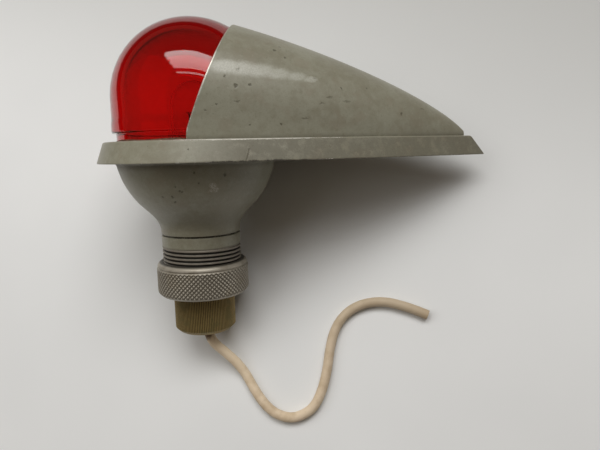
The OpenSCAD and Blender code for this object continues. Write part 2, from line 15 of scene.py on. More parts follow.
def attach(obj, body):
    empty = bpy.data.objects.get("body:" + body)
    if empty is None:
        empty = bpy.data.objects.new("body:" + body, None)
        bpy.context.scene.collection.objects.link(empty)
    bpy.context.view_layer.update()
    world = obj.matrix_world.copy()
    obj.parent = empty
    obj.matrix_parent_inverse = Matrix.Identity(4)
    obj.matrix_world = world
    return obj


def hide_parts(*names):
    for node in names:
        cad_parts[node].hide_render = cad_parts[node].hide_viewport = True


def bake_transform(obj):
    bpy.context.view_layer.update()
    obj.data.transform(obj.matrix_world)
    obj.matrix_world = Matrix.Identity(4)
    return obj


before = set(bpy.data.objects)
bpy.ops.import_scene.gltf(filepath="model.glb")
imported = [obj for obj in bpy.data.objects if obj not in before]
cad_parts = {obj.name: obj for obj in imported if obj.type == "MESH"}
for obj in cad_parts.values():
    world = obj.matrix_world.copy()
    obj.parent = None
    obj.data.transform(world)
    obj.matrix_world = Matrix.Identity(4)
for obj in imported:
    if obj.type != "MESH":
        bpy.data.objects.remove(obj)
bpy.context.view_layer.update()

# %% [markdown]
# The lamp is drawn upright first, in millimetres: x to the tail, z up the lamp
# axis to the dome, z = 0 on the underside of the flange. These are the sizes
# that drive the CAD model, but for the glass wall, which the photograph shows
# a little thicker. Named sizes keep every piece in step with its neighbours.

# %% Sizes of the lamp, in millimetres
FLANGE_LENGTH, NOSE_R, FLANGE_T, FLANGE_BEVEL, TIP_ANGLE, TIP_SHORT = 150.0, 36.0, 7.5, 2.6, 27.0, 0.6
GLASS_R, DOME_TOP, SEEN_WALL, FOOT_STEP, FOOT_SHOW, LAP_GAP = 29.9, 52.1, 4.2, 1.3, 3.1, 0.45
COWL_RISE, COWL_FALL, COWL_ROUND, COWL_SHORT = 45.2, 1.2, 0.75, 8.2
COWL_WALL, RIM_WALL, RIM_LEAN, RIM_FOOT, RIM_FRONT, RIM_BEND = 1.8, 0.85, 0.40, 2.7, 0.4, 0.3
NECK_R, NECK_BORE, NECK_END, THREAD_PITCH, THREAD_DEPTH = 15.0, 12.5, 46.0, 1.5, 0.85
SEAL, HOLDER_RIM, RECESS_GAP, NUT_GAP = 0.8, 1.8, 0.9, 0.4
RING_R, RING_H, RING_LIP, RING_BEVEL = 17.6, 12.8, 2.2, 1.1
NUT_R, NUT_H, NUT_MOUTH, NUT_BEVEL, STEM_R = 11.8, 14.8, 4.6, 1.6, 10.0
LEAD_D = 3.9
ROLL = np.radians(13.1)

REACH = FLANGE_LENGTH - NOSE_R
TIP = np.radians(TIP_ANGLE)
ARC = (REACH**2 - NOSE_R**2) / (2 * (REACH * np.sin(TIP) - NOSE_R))
ARC_X = REACH - ARC * np.sin(TIP)
ARC_Y = ARC * np.cos(TIP)
TANGENT = np.arctan2(-ARC_X, ARC_Y)
COWL_REACH = REACH - COWL_SHORT
GLASS_Z = DOME_TOP - GLASS_R
FOOT_R = GLASS_R - FOOT_STEP
BEAD_Z = FLANGE_T + FOOT_SHOW
RECESS_R = FOOT_R + RECESS_GAP
RING_BOTTOM = NECK_END + SEAL + HOLDER_RIM + RING_LIP
RING_TOP = RING_BOTTOM - RING_H
NUT_TOP = RING_BOTTOM + NUT_GAP
NUT_BOTTOM = NUT_TOP + NUT_H
print("arc radius %.2f, ring %.1f to %.1f, nut %.1f to %.1f below the flange"
      % (ARC, RING_TOP, RING_BOTTOM, NUT_TOP, NUT_BOTTOM))

# %% [markdown]
# Laying the lamp down is one turn and one move: a roll about its own axis, a
# lean until the flange edge and the lock ring touch the surface, and a small
# yaw so that the tail points along +X. The points are turned, not the objects,
# because every finished piece keeps its object at the origin.

# %% The lie of the lamp
EDGE = ARC_X * np.sin(ROLL) - ARC_Y * np.cos(ROLL) + ARC
LEAN = np.arctan(min((EDGE - RING_R) / (RING_BOTTOM - RING_BEVEL), (EDGE - RING_R + RING_BEVEL) / RING_BOTTOM,
                     (EDGE - NUT_R) / (NUT_BOTTOM - NUT_BEVEL), (EDGE - NUT_R + NUT_BEVEL) / NUT_BOTTOM))
YAW = -np.arctan2(np.sin(ROLL) * np.sin(LEAN), np.cos(ROLL))


def about_z(angle):
    """A turn about z: x cos a - y sin a, x sin a + y cos a, z."""
    return np.array([[np.cos(angle), -np.sin(angle), 0], [np.sin(angle), np.cos(angle), 0], [0, 0, 1]])


lean_turn = np.array([[1, 0, 0], [0, np.sin(LEAN), np.cos(LEAN)], [0, -np.cos(LEAN), np.sin(LEAN)]])
LAY = about_z(YAW) @ lean_turn @ about_z(ROLL)


def middle():
    """Middle of the laid lamp in plan: nose and tail give X, dome and gland nut give Y."""
    across = np.hypot(LAY[0, 0], LAY[0, 1])
    nose = min(-NOSE_R * across, LAY[0, 2] * FLANGE_T - (NOSE_R - FLANGE_BEVEL) * across)
    tail = LAY[0, 0] * (REACH - TIP_SHORT)
    dome = LAY[1, 2] * GLASS_Z + GLASS_R
    nut = -LAY[1, 2] * NUT_BOTTOM - (NUT_R - NUT_BEVEL) * np.hypot(LAY[1, 0], LAY[1, 1])
    return np.array([(nose + tail) / 2, (dome + nut) / 2, -EDGE * np.cos(LEAN)])


MOVE = -middle()


def lay(points):
    """Lamp millimetres to row-frame metres: LAY times the point, plus MOVE."""
    return (np.asarray(points, float) @ LAY.T + MOVE) / 1000.0


def upright(points):
    """Row-frame metres back to lamp millimetres, the inverse of lay()."""
    return (np.asarray(points, float) * 1000.0 - MOVE) @ LAY


print("lean %.2f, yaw %.2f degrees" % (np.degrees(LEAN), np.degrees(YAW)))

# %% [markdown]
# The camera stands where the photograph was taken from: nearly overhead, about
# 0.2 m above the surface. Such a camera can be placed by eye. Here its place was
# fitted to the outlines of the flange, the ring and the nut, so that the
# perspective matches too.

# %% Camera
CAMERA_AT = (23.565, -195.688, 3.180)
CAMERA_AXES = np.array([[0.99645, -0.08088, -0.02325], [0.03487, 0.14530, 0.98877],
                        [-0.07660, -0.98608, 0.14760]])


def placed(name, data):
    """A new object in the scene for a mesh, a light or a camera."""
    obj = bpy.data.objects.new(name, data)
    bpy.context.scene.collection.objects.link(obj)
    return obj


def stand(obj, axes, at):
    """Puts an object at a place in metres, with its own axes along the columns of axes."""
    where = np.eye(4)
    where[:3, :3], where[:3, 3] = axes, at
    obj.matrix_world = Matrix(where.tolist())


camera = placed("camera", bpy.data.cameras.new("camera"))
camera.data.sensor_width, camera.data.lens, camera.data.clip_start = 36.0, 30.0, 0.01
turned = LAY @ CAMERA_AXES.T
stand(camera, turned / np.linalg.norm(turned, axis=0), lay(CAMERA_AT))
bpy.context.scene.camera = camera
print("camera at", np.round(lay(CAMERA_AT), 4))

# %% [markdown]
# Meshes are built from whole arrays, which is far quicker than adding points
# one at a time. A grid of rows and columns gives quads. If the faces of a
# closed surface point inwards, its signed volume is negative, and they are
# turned round.

# %% Mesh helpers
def grid_quads(rows, cols, wrap_rows=False, wrap_cols=True):
    """Quads of a rows by cols grid of points, joined round where a direction wraps."""
    i, j = np.meshgrid(np.arange(rows if wrap_rows else rows - 1),
                       np.arange(cols if wrap_cols else cols - 1), indexing="ij")
    up, on = (i + 1) % rows, (j + 1) % cols
    return np.stack([i * cols + j, i * cols + on, up * cols + on, up * cols + j], -1).reshape(-1, 4)


def facing_out(points, quads):
    """Quads turned so that their signed volumes, a . (b x c + c x d), add up to more than 0."""
    a, b, c, d = (points[quads[:, k]] for k in range(4))
    return quads if np.sum(a * (np.cross(b, c) + np.cross(c, d))) > 0 else quads[:, ::-1]


def new_mesh(name, points, quads):
    """A mesh from row-frame points and quads."""
    mesh = bpy.data.meshes.new(name)
    mesh.vertices.add(len(points))
    mesh.vertices.foreach_set("co", points.astype(np.float32).ravel())
    mesh.loops.add(quads.size)
    mesh.loops.foreach_set("vertex_index", quads.astype(np.int32).ravel())
    mesh.polygons.add(len(quads))
    mesh.polygons.foreach_set("loop_start", (np.arange(len(quads)) * 4).astype(np.int32))
    mesh.update(calc_edges=True)
    mesh.validate()
    return mesh


def grid_mesh(name, grid, wrap_rows=False):
    """The mesh of a grid of lamp points that closes round its columns, laid down, faces outwards."""
    flat = grid.reshape(-1, 3)
    return new_mesh(name, lay(flat), facing_out(flat, grid_quads(*grid.shape[:2], wrap_rows)))


def weld(mesh, distance=2e-6):
    """Merges the points that share a place, such as a pole's, and points the faces out."""
    work = bmesh.new()
    work.from_mesh(mesh)
    bmesh.ops.remove_doubles(work, verts=work.verts, dist=distance)
    bmesh.ops.recalc_face_normals(work, faces=work.faces)
    work.to_mesh(mesh)
    work.free()


# %% [markdown]
# A material has to know where it is on the lamp and how worn a spot is. That
# could be painted on an image; here it is stored per vertex, so it moves with
# its piece and needs no file. A finished piece that rides on one body then goes
# through piece(), which says what that body is and what the piece stands for.

# %% Finishing a piece
def lamp_points(mesh, parts="vertices", key="co"):
    """The places of a mesh's vertices, or of its faces' middles, in lamp millimetres."""
    found = np.empty(len(getattr(mesh, parts)) * 3, np.float32)
    getattr(mesh, parts).foreach_get(key, found)
    return upright(found.reshape(-1, 3))


def remember(mesh, **values):
    """Stores numbers per vertex for the materials; lamp is its place in lamp millimetres."""
    spot = mesh.attributes.new("lamp", "FLOAT_VECTOR", "POINT")
    spot.data.foreach_set("vector", lamp_points(mesh).astype(np.float32).ravel())
    for name, value in values.items():
        layer = mesh.attributes.new(name, "FLOAT", "POINT")
        layer.data.foreach_set("value", np.asarray(value, np.float32).ravel())


def piece(name, mesh, body, stands_for, slot, material, sharp=40.0, poles=False, **values):
    """Puts a finished mesh in the scene: smooth, with its real corners kept and its poles merged,
    riding its body."""
    remember(mesh, **values)
    if poles:
        weld(mesh)
    mesh.shade_smooth()
    mesh.set_sharp_from_angle(angle=np.radians(sharp))
    mesh.materials.append(material)
    obj = placed(name, mesh)
    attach(obj, body)
    if stands_for:
        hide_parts(stands_for)
    print("%s: %d points, %d faces" % (name, len(mesh.vertices), len(mesh.polygons)))
    return obj


# %% [markdown]
# A turned part is a profile carried round an axis. Blender's Screw modifier can
# do that, but grooves, threads and knurls move single points of the result, so
# the grid of points is made here and pressed in before it becomes a mesh.

# %% Profiles
def turned_points(profile, cols):
    """A profile of (radius, height) carried round the lamp axis: r cos t, r sin t, z."""
    profile = np.asarray(profile, float)
    t = np.arange(cols) * 2 * np.pi / cols
    return np.stack([profile[:, :1] * np.cos(t), profile[:, :1] * np.sin(t),
                     np.repeat(profile[:, 1:2], cols, 1)], -1)


def drawn_in(grid, depth, radius):
    """Moves a turned grid's points in by a depth: x and y times 1 - depth / radius."""
    grid[..., :2] *= (1 - depth / radius)[..., None]


def along(points, step):
    """A polyline resampled so that no stretch is longer than step."""
    points = np.asarray(points, float)
    parts = [points[:1]]
    for a, b in zip(points[:-1], points[1:]):
        n = max(1, int(np.ceil(np.linalg.norm(b - a) / step)))
        parts.append(a + (b - a) * (np.arange(1, n + 1) / n)[:, None])
    return np.concatenate(parts)


def smooth_through(points, per=6):
    """A curve through the points, per steps to a stretch: cubics whose slope at each point is half
    the way from the point before it to the point after it."""
    p = np.asarray(points, float)
    p = np.concatenate([2 * p[:1] - p[1:2], p, 2 * p[-1:] - p[-2:-1]])
    t = (np.arange(per) / per)[:, None]
    out = [0.5 * (2 * b + (c - a) * t + (2 * a - 5 * b + 4 * c - d) * t**2 + (3 * b - a - 3 * c + d) * t**3)
           for a, b, c, d in zip(p[:-3], p[1:-2], p[2:-1], p[3:])]
    return np.concatenate(out + [p[-2:-1]])


def rounded(corners, radius, steps):
    """A polyline whose inner corners b are cut by arcs (1 - t)^2 from + 2 t (1 - t) b + t^2 to."""
    p = np.asarray(corners, float)
    t = np.linspace(0, 1, steps)[:, None]
    out = [p[:1]]
    for a, b, c, r in zip(p[:-2], p[1:-1], p[2:], np.broadcast_to(radius, len(p) - 2)):
        before, after = np.linalg.norm(a - b), np.linalg.norm(c - b)
        cut_back = min(r, 0.49 * before, 0.49 * after)
        start, end = b + (a - b) / before * cut_back, b + (c - b) / after * cut_back
        out.append((1 - t)**2 * start + 2 * t * (1 - t) * b + t**2 * end)
    return np.concatenate(out + [p[-1:]])


# %% [markdown]
# Four small functions shape all the wear and the patterns: a triangle wave for
# threads and knurls, a seeded wobble for what is made by hand, and a bell and a
# ramp for anything that fades with distance.

# %% Waves and fades
def tri(x):
    """Triangle wave of period 1: 0 at whole numbers, 1 half way."""
    return 1 - np.abs(2 * (x - np.floor(x)) - 1)


def wobble(x, y, seed):
    """Smooth seeded noise between about -1 and 1: nine sines of random pitch and phase, added."""
    draw = np.random.default_rng(seed)
    total = 0.0
    for _ in range(9):
        a, b, c = draw.uniform(-3.0, 3.0), draw.uniform(-3.0, 3.0), draw.uniform(0, 6.283)
        total = total + np.sin(a * x + b * y + c)
    return total / 3.6


def bell(distance, width):
    """1 on a line, less away from it: exp(-(distance / width)^2)."""
    return np.exp(-(distance / width)**2)


def ramp(value, start, end):
    """0 up to start, 1 from end on, straight between; start may be the larger."""
    return np.clip((value - start) / (end - start), 0, 1)


# %% [markdown]
# A finish is a node material. Its maths is written as Python expressions: a
# Signal wraps one socket, and + - * on it add Math nodes. Every other node comes
# from one method, Finish.add, so a finish reads like a recipe.

# %% Shader helpers
class Signal:
    """One shader socket. Operators on it add Math nodes to its finish."""

    def __init__(self, finish, socket):
        self.finish, self.socket = finish, socket

    def __add__(self, other):
        return self.finish.math("ADD", self, other)

    def __radd__(self, other):
        return self.finish.math("ADD", other, self)

    def __sub__(self, other):
        return self.finish.math("SUBTRACT", self, other)

    def __rsub__(self, other):
        return self.finish.math("SUBTRACT", other, self)

    def __mul__(self, other):
        return self.finish.math("MULTIPLY", self, other)

    def __rmul__(self, other):
        return self.finish.math("MULTIPLY", other, self)


class Finish:
    """A node material under construction, with its Principled shader as self.shader."""

    def __init__(self, name, **constants):
        self.material = bpy.data.materials.new(name)
        self.material.use_nodes = True
        self.tree = self.material.node_tree
        self.shader = self.tree.nodes["Principled BSDF"]
        self.surface(**constants)

    def set(self, node, key, value):
        """Links a Signal to a socket, or sets the socket; a colour gets alpha 1."""
        socket = node.inputs[key]
        if isinstance(value, Signal):
            self.tree.links.new(value.socket, socket)
        else:
            socket.default_value = (*value, 1.0) if socket.type == "RGBA" else value

    def add(self, kind, settings, sockets, out=0):
        """A node of a kind: its settings first, then its sockets. Gives one of its outputs."""
        node = self.tree.nodes.new(kind)
        for key, value in settings.items():
            setattr(node, key, value)
        for key, value in sockets.items():
            self.set(node, key, value)
        return Signal(self, node.outputs[out])

    def math(self, operation, a, b):
        return self.add("ShaderNodeMath", {"operation": operation}, {0: a, 1: b})

    def vector(self, operation, a, b):
        """Vector maths: a dot product or a distance gives a number, the others a vector."""
        out = "Value" if operation in ("DOT_PRODUCT", "DISTANCE") else "Vector"
        return self.add("ShaderNodeVectorMath", {"operation": operation}, {0: a, 1: b}, out)

    def value(self, name):
        return self.add("ShaderNodeAttribute", {"attribute_name": name}, {}, "Fac")

    def lamp(self):
        return self.add("ShaderNodeAttribute", {"attribute_name": "lamp"}, {}, "Vector")

    def object_spot(self):
        return self.add("ShaderNodeTexCoord", {}, {}, "Object")

    def noise(self, vector, scale, detail, rough, warp=0.0):
        return self.add("ShaderNodeTexNoise", {}, {"Vector": vector, "Scale": scale, "Detail": detail,
                                                  "Roughness": rough, "Distortion": warp})

    def cells(self, vector, scale):
        return self.add("ShaderNodeTexVoronoi", {}, {"Vector": vector, "Scale": scale})

    def mask(self, signal, low, high):
        """0 below low, 1 above high, smooth between; low may be the larger."""
        return self.add("ShaderNodeMapRange", {"interpolation_type": "SMOOTHSTEP"},
                        {"Value": signal, "From Min": low, "From Max": high})

    def mix(self, a, b, factor):
        return self.add("ShaderNodeMix", {"data_type": "RGBA"}, {0: factor, 6: a, 7: b}, 2)

    def coats(self, colour, *over):
        """A colour with others laid over it in turn, each with how much of it there is."""
        for tint, amount in over:
            colour = self.mix(colour, tint, amount)
        return colour

    def bump(self, height, strength, distance):
        return self.add("ShaderNodeBump", {}, {"Height": height, "Strength": strength, "Distance": distance})

    def surface(self, **sockets):
        """Sets or links the shader's sockets, with _ for a space, and gives the material."""
        for key, value in sockets.items():
            self.set(self.shader, key.replace("_", " "), value)
        return self.material


# %% [markdown]
# The lead is 3.9 mm over its insulation, cut bare, and the photograph shows all
# of it: out of the gland nut, down to the surface, and round one deep bend. A
# curve object could follow it, but the route has to repeat the CAD model's
# points, so they are listed. It is limp, so its bends are soft and it lies flat
# as soon as it reaches the surface.

# %% Lead: route
CAD_SIDES, FLOOR_GAP = 8, 0.02
lead_height = LEAD_D / 2 * np.cos(np.pi / CAD_SIDES) + FLOOR_GAP
lead_gland = [61.0, 62.45, 64.7]
lead_hang = [(-40.8, -59.7, 8.4), (-36.6, -64.3, 5.9), (-32.2, -69.1, 3.4)]
lead_floor = [(-29, -73.8), (-26.2, -78.8), (-23.1, -83.6), (-19.4, -87.7), (-15.6, -90), (-11.2, -91),
              (-6.8, -90.2), (-2.4, -87.6), (0.5, -83.5), (2.8, -78.1), (4.5, -72.1), (5.8, -65.9),
              (7.8, -59.5), (10.8, -54.5), (14.9, -50.9), (19.7, -48.8), (25.1, -48), (30.5, -48.5),
              (35.8, -50.1), (40.8, -52.1), (45.6, -54.4)]
lead_knots = np.concatenate([lay([(0, 0, -z) for z in lead_gland]) * 1000, lead_hang,
                             [(x, y, lead_height) for x, y in lead_floor]])
lead_path = np.concatenate([lead_knots[:2], smooth_through(lead_knots[1:])[1:]]) / 1000
run = np.concatenate([[0], np.cumsum(np.linalg.norm(np.diff(lead_path, axis=0), axis=1))])
lead_length = float(run[-1])
print("lead length %.1f mm" % (lead_length * 1000))

# %% [markdown]
# A tube is a circle carried along the route. The circle's frame comes from the
# tangent and the vertical, which is safe because the lead is never upright. A
# little unevenness keeps it from looking machined, and rings of falling size
# close its cut ends.

# %% Lead: tube
def tube(path, radius, sides):
    """Points of a tube: path + radius (s cos a + u sin a), s across and u above the path."""
    t = np.gradient(path, axis=0)
    t /= np.linalg.norm(t, axis=1)[:, None]
    s = np.cross(t, [0, 0, 1.0])
    s /= np.linalg.norm(s, axis=1)[:, None]
    u = np.cross(s, t)
    a = np.arange(sides) * 2 * np.pi / sides
    r = np.broadcast_to(radius, (len(path), sides))[..., None]
    return path[:, None] + r * (s[:, None] * np.cos(a)[:, None] + u[:, None] * np.sin(a)[:, None])


def capped(path, skin, shares):
    """The tube's rings with smaller ones at both ends: path + share (rim - path), for each share."""
    low, high = ([path[end] + (skin[end] - path[end]) * k for k in shares] for end in (0, -1))
    return np.stack(low[::-1] + list(skin) + high)


LEAD_ROUND, LEAD_ROWS, LEAD_ENDS = 24, 260, (0.93, 0.48, 0.46, 0.0)
LEAD_SHARE, LEAD_UNEVEN, LEAD_SEED = 0.985, 0.012, 3
LEAD_R = LEAD_D / 2 * LEAD_SHARE
fine = np.linspace(0, lead_length, LEAD_ROWS)
lead_line = np.stack([np.interp(fine, run, lead_path[:, k]) for k in range(3)], -1)
lead_line[2:-2] = np.stack([np.convolve(lead_line[:, k], np.ones(5) / 5, "valid") for k in range(3)], -1)
angle = np.arange(LEAD_ROUND) * 2 * np.pi / LEAD_ROUND
uneven = 1 + LEAD_UNEVEN * wobble(fine[:, None] * 900, np.sin(angle)[None] * 2, LEAD_SEED)
lead_grid = capped(lead_line, tube(lead_line, LEAD_R / 1000 * uneven, LEAD_ROUND), LEAD_ENDS)
lead_run = np.pad(fine, len(LEAD_ENDS), "edge")
lead_core = np.zeros(len(lead_run))
lead_core[-2:] = 1
print("lead tube", lead_grid.shape)

# %% [markdown]
# The insulation is old cream rubber: blotched, darker and browner where it
# leaves the gland, paler over its first stretch, darker over its far stretch,
# dirtier at the cut end, and slightly waxy. These marks follow the distance
# along the lead, which a plain noise couldn't do.

# %% Lead: insulation finish
def lead_finish():
    f = Finish("lead_insulation", Roughness=0.55, Specular_IOR_Level=0.35)
    spot, run_at = f.object_spot(), f.value("run")
    blotch = f.noise(spot, 160, 4, 0.6)
    fine_grain = f.noise(spot, 1400, 3, 0.6)
    stain = f.mask(run_at + (blotch - 0.5) * 0.010, 0.0115, 0.0075)
    grubby = f.mask(run_at, lead_length - 0.006, lead_length + 0.002)
    # Paler over the first 18 to 45 mm and darker from 60 to 135 mm along the lead.
    colour = f.coats(f.mix((0.60, 0.475, 0.325), (0.74, 0.61, 0.45), f.mask(blotch, 0.35, 0.62)),
                     ((0.42, 0.30, 0.17), f.mask(f.noise(spot, 420, 4, 0.7), 0.62, 0.74) * 0.4),
                     ((0.88, 0.74, 0.54), f.mask(run_at, 0.045, 0.018) * 0.6),
                     ((0.47, 0.385, 0.275), f.mask(run_at, 0.06, 0.135) * 0.8),
                     ((0.11, 0.055, 0.025), stain * 0.9),
                     ((0.36, 0.26, 0.15), grubby * 0.5),
                     ((0.30, 0.16, 0.08), f.value("core")))
    return f.surface(Base_Color=colour, Normal=f.bump(fine_grain * 0.6 + blotch * 0.6, 0.3, 0.0001))


lead_flat = lead_grid.reshape(-1, 3)
lead_mesh = new_mesh("supply_lead_tube", lead_flat, facing_out(lead_flat, grid_quads(*lead_grid.shape[:2])))
lead = piece("supply_lead_tube", lead_mesh, "lampholder", "supply_lead", "lead_insulation",
             lead_finish(), 55, True, run=np.repeat(lead_run, LEAD_ROUND),
             core=np.repeat(lead_core, LEAD_ROUND))

# %% [markdown]
# Inside the lampholder the lead runs straight from its terminal to the packing,
# which the free cord doesn't count, so that stretch is a piece of its own.

# %% Lead: root
ROOT_TOP, ROOT_LAP = 51.5, 0.1
root_end = lead_gland[0] + ROOT_LAP
root_line = [(0, -ROOT_TOP), (LEAD_R, -ROOT_TOP), (LEAD_R, -root_end), (0, -root_end)]
piece("supply_lead_root", grid_mesh("supply_lead_root", turned_points(root_line, LEAD_ROUND)), "lampholder",
      None, "lead_insulation", lead.data.materials[0], poles=True)

# %% [markdown]
# The casting and the cowl wear the same old grey-green paint. It is semi-matt
# and a little uneven, pitted and speckled, scratched along the cowl, chipped to
# bare metal on the flange's edges and dirty in the corners. Some of the colour
# is painted light and shade: a pale patch along the cowl's top is rubbed paint
# and a painted highlight, the flange's top edge is partly painted paler, and its
# side is painted darker towards the tail. Noise alone gives the kind of mark but
# not its place, so the marks that catch the eye are listed as (x, z, radius) on
# the side that faces up.

# %% Paint finish
PITS = [(30, 37.1, .45), (33.4, 34.6, .3), (43.5, 27.3, .4), (52.9, 24.2, .35), (62.7, 24.6, .3),
        (16.8, 24.3, .6), (21.3, 24.6, .45), (7, 16.6, .4), (10.5, 18.4, .3), (31.2, 12, .35),
        (20.9, 11.8, .3), (76, 15.5, .5), (13.4, 27.2, .4), (17.8, 29.5, .5), (-3.3, -9.4, .5),
        (-4.6, -7.9, .35), (-2.4, -9.6, .35), (-6, -11.4, .45), (-5.5, -13.2, .4), (3.2, -6.8, .4),
        (11.9, -4.3, .5), (2.2, -3.2, .4), (-9.5, -11.4, .35), (1.5, 4.3, .3), (-11.5, 5.6, .25)]
PITS += [(20.6 - 0.12 * k, 4.0 - 0.34 * k, .24) for k in range(12)]
DASHES = [(17, 19.3, .28), (39.5, 13.8, .4), (54.6, 19.6, .45), (48.4, 20.9, .35), (45.6, 18.8, .3),
          (85.4, 17.5, .3)]
SCUFFS = [(7.8, -8, 1.1), (8.6, -9.2, .9), (6.9, -9.6, .6)]
# Pale patches along the cowl's top, (x, z, radius): rubbed paint and a painted highlight.
RUBBED_AND_SHEEN = [(14, 30.5, 2.2), (19, 30.1, 2.3), (25, 29.5, 2.2), (31, 28.6, 1.8), (37, 27.8, 1.4), (42, 27, 1)]


def near_dots(f, spot, places, squash=1.0):
    """Soft dots on the side that faces up, at (x, z, radius), stretched along x by 1 / squash."""
    flat = f.vector("MULTIPLY", spot, (squash, 0.0, 1.0))
    total = 0.0
    for x, z, r in places:
        away = f.vector("DISTANCE", flat, (x * squash, 0.0, z))
        total = f.math("MAXIMUM", f.mask(away, r * 1.4, r * 0.5), total)
    return total * f.mask(f.vector("DOT_PRODUCT", spot, (0.0, -1.0, 0.0)), 0.0, 1.0)


def paint_finish():
    f = Finish("grey_green_paint", Specular_IOR_Level=0.5)
    spot = f.lamp()
    cloud = f.noise(spot, 0.32, 4, 0.6)
    grain = f.noise(spot, 2.6, 3, 0.6)
    speckle = f.noise(spot, 0.95, 5, 0.7)
    broad = f.noise(spot, 0.045, 3, 0.5) * 0.55 + cloud * 0.45
    streaks = f.noise(f.vector("MULTIPLY", spot, (0.05, 0.9, 0.9)), 2.4, 5, 0.75, 0.3)
    scratch = f.mask(streaks, 0.68, 0.74) * f.mask(cloud, 0.5, 0.7)
    shake = f.add("ShaderNodeTexNoise", {}, {"Vector": spot, "Scale": 1.3}, "Color")
    jitter = f.vector("ADD", spot, f.vector("MULTIPLY", shake, (1.3, 1.3, 1.3)))
    jitter = f.vector("SUBTRACT", jitter, (0.65, 0.65, 0.65))
    gate = f.mask(f.noise(spot, 0.11, 2, 0.5), 0.46, 0.56)
    pit = f.mask(f.cells(jitter, 0.13), 0.062, 0.03) * gate + near_dots(f, jitter, PITS)
    pit = f.math("MAXIMUM", pit, near_dots(f, jitter, DASHES, 0.3) * 0.6)
    thin = f.mask(f.noise(spot, 0.23, 2, 0.5), 0.5, 0.62)
    fleck = f.mask(f.cells(spot, 0.8) + grain * 0.2, 0.20, 0.14) * thin
    scuff = near_dots(f, jitter, SCUFFS) * f.mask(grain, 0.42, 0.56)
    # Rubbed paint and a painted highlight along the cowl's top: paler and smoother.
    rub_and_sheen = near_dots(f, jitter, RUBBED_AND_SHEEN, 0.42)
    # Dirt in the corners and joints, and painted shade on the flange's side towards the tail.
    grime = f.value("grime") * f.mask(cloud + grain * 0.35, 0.35, 0.75)
    uneven = (grain - 0.5) * 0.9 + (cloud - 0.5) * 1.1
    edge = f.value("edge") + uneven
    # Edges wear to pale metal, painted paler still as a highlight on the flange's top edge and the cowl's
    # rim.
    wear_and_sheen = f.mask(edge, 0.80, 0.94)
    under = f.mask(edge, 0.66, 0.84)
    chip = f.mask(f.value("chip") + uneven, 0.86, 0.98)
    colour = f.coats(f.mix((0.232, 0.222, 0.165), (0.285, 0.283, 0.220), f.mask(broad, 0.38, 0.62)),
                     ((0.185, 0.175, 0.125), f.mask(grain, 0.52, 0.72) * 0.35),
                     ((0.235, 0.205, 0.150), f.mask(f.noise(spot, 0.13, 3, 0.6), 0.52, 0.66) * 0.35),
                     ((0.34, 0.34, 0.275), f.mask(speckle, 0.56, 0.70) * 0.4),
                     ((0.165, 0.16, 0.105), f.mask(speckle, 0.44, 0.32) * 0.4),
                     ((0.40, 0.39, 0.33), scratch * 0.3),
                     ((0.12, 0.105, 0.075), fleck * 0.4),
                     ((0.070, 0.064, 0.036), pit * 0.75),
                     ((0.50, 0.48, 0.42), scuff * 0.75),
                     ((0.52, 0.53, 0.47), rub_and_sheen * (0.42 + f.mask(grain, 0.40, 0.62) * 0.3)),
                     ((0.085, 0.075, 0.050), grime * 0.7),
                     ((0.15, 0.135, 0.10), under * 0.4),
                     ((0.62, 0.61, 0.55), wear_and_sheen * 0.9),
                     ((0.055, 0.048, 0.036), chip * 0.9))
    height = grain * 0.22 + cloud * 0.4 - pit - fleck * 0.3 - scratch * 0.2 - under * 0.3 - chip * 0.8
    return f.surface(Base_Color=colour, Roughness=0.32 + cloud * 0.14 + grime * 0.2 - rub_and_sheen * 0.10,
                     Metallic=wear_and_sheen * 0.4, Normal=f.bump(height, 0.4, 0.0002))


paint = paint_finish()
print("paint nodes:", len(paint.node_tree.nodes))

# %% [markdown]
# The flange is a teardrop plate 7.5 mm thick: a round nose and two long arcs
# that meet it tangentially, with sides that slope in to the top. An extruded
# outline with a bevel would do, but the plan can be drawn at any inset, so the
# plate is a stack of loops with small rounded corners.

# %% Flange
NOSE_POINTS, SIDE_POINTS, TAIL_HALF = 150, 190, 0.35


def outline(inset):
    """Teardrop loop set in by inset i: a nose arc (R - i)(cos a, sin a), then each side an arc
    (X + (A - i) sin b, Y - (A - i) cos b), crowded towards the tail."""
    a = np.linspace(np.pi / 2 - TANGENT, 1.5 * np.pi + TANGENT, NOSE_POINTS)
    nose = (NOSE_R - inset) * np.stack([np.cos(a), np.sin(a)], -1)
    end = np.arccos((ARC_Y + TAIL_HALF) / (ARC - inset))
    share = np.linspace(0, 1, SIDE_POINTS + 1)[1:]
    b = TANGENT + (end - TANGENT) * (1 - (1 - share)**1.25)
    low = np.stack([ARC_X + (ARC - inset) * np.sin(b), ARC_Y - (ARC - inset) * np.cos(b)], -1)
    return np.concatenate([nose, low, low[::-1] * [1, -1]])


def ring_like(loop, radius):
    """The circle of that radius whose points lie in the same directions as the loop's."""
    a = np.arctan2(loop[:, 1], loop[:, 0])
    return radius * np.stack([np.cos(a), np.sin(a)], -1)


def at_height(plan, z):
    """A plan loop's points, all at one height."""
    return np.column_stack([plan, np.full(len(plan), z)])


def plate_points():
    """Stack of loops: up the hole, out over the top, down the sloped side, in underneath."""
    side = [(6.0, FLANGE_T), (FLANGE_BEVEL, FLANGE_T), (0.0, 0.0), (4.0, 0.0)]
    loops = [at_height(outline(inset), z) for inset, z in along(rounded(side, [0.6, 0.4], 6), 0.5)]
    top, under = loops[0][:, :2], loops[-1][:, :2]
    hole_top, hole_under = ring_like(top, RECESS_R + 0.12), ring_like(under, RECESS_R - 0.1)
    shares = np.linspace(0, 1, 7)
    over = [at_height(hole_top + (top - hole_top) * s, FLANGE_T) for s in shares[:-1]]
    below = [at_height(under + (hole_under - under) * s, 0.0) for s in shares[1:]]
    return np.stack(over + loops + below)


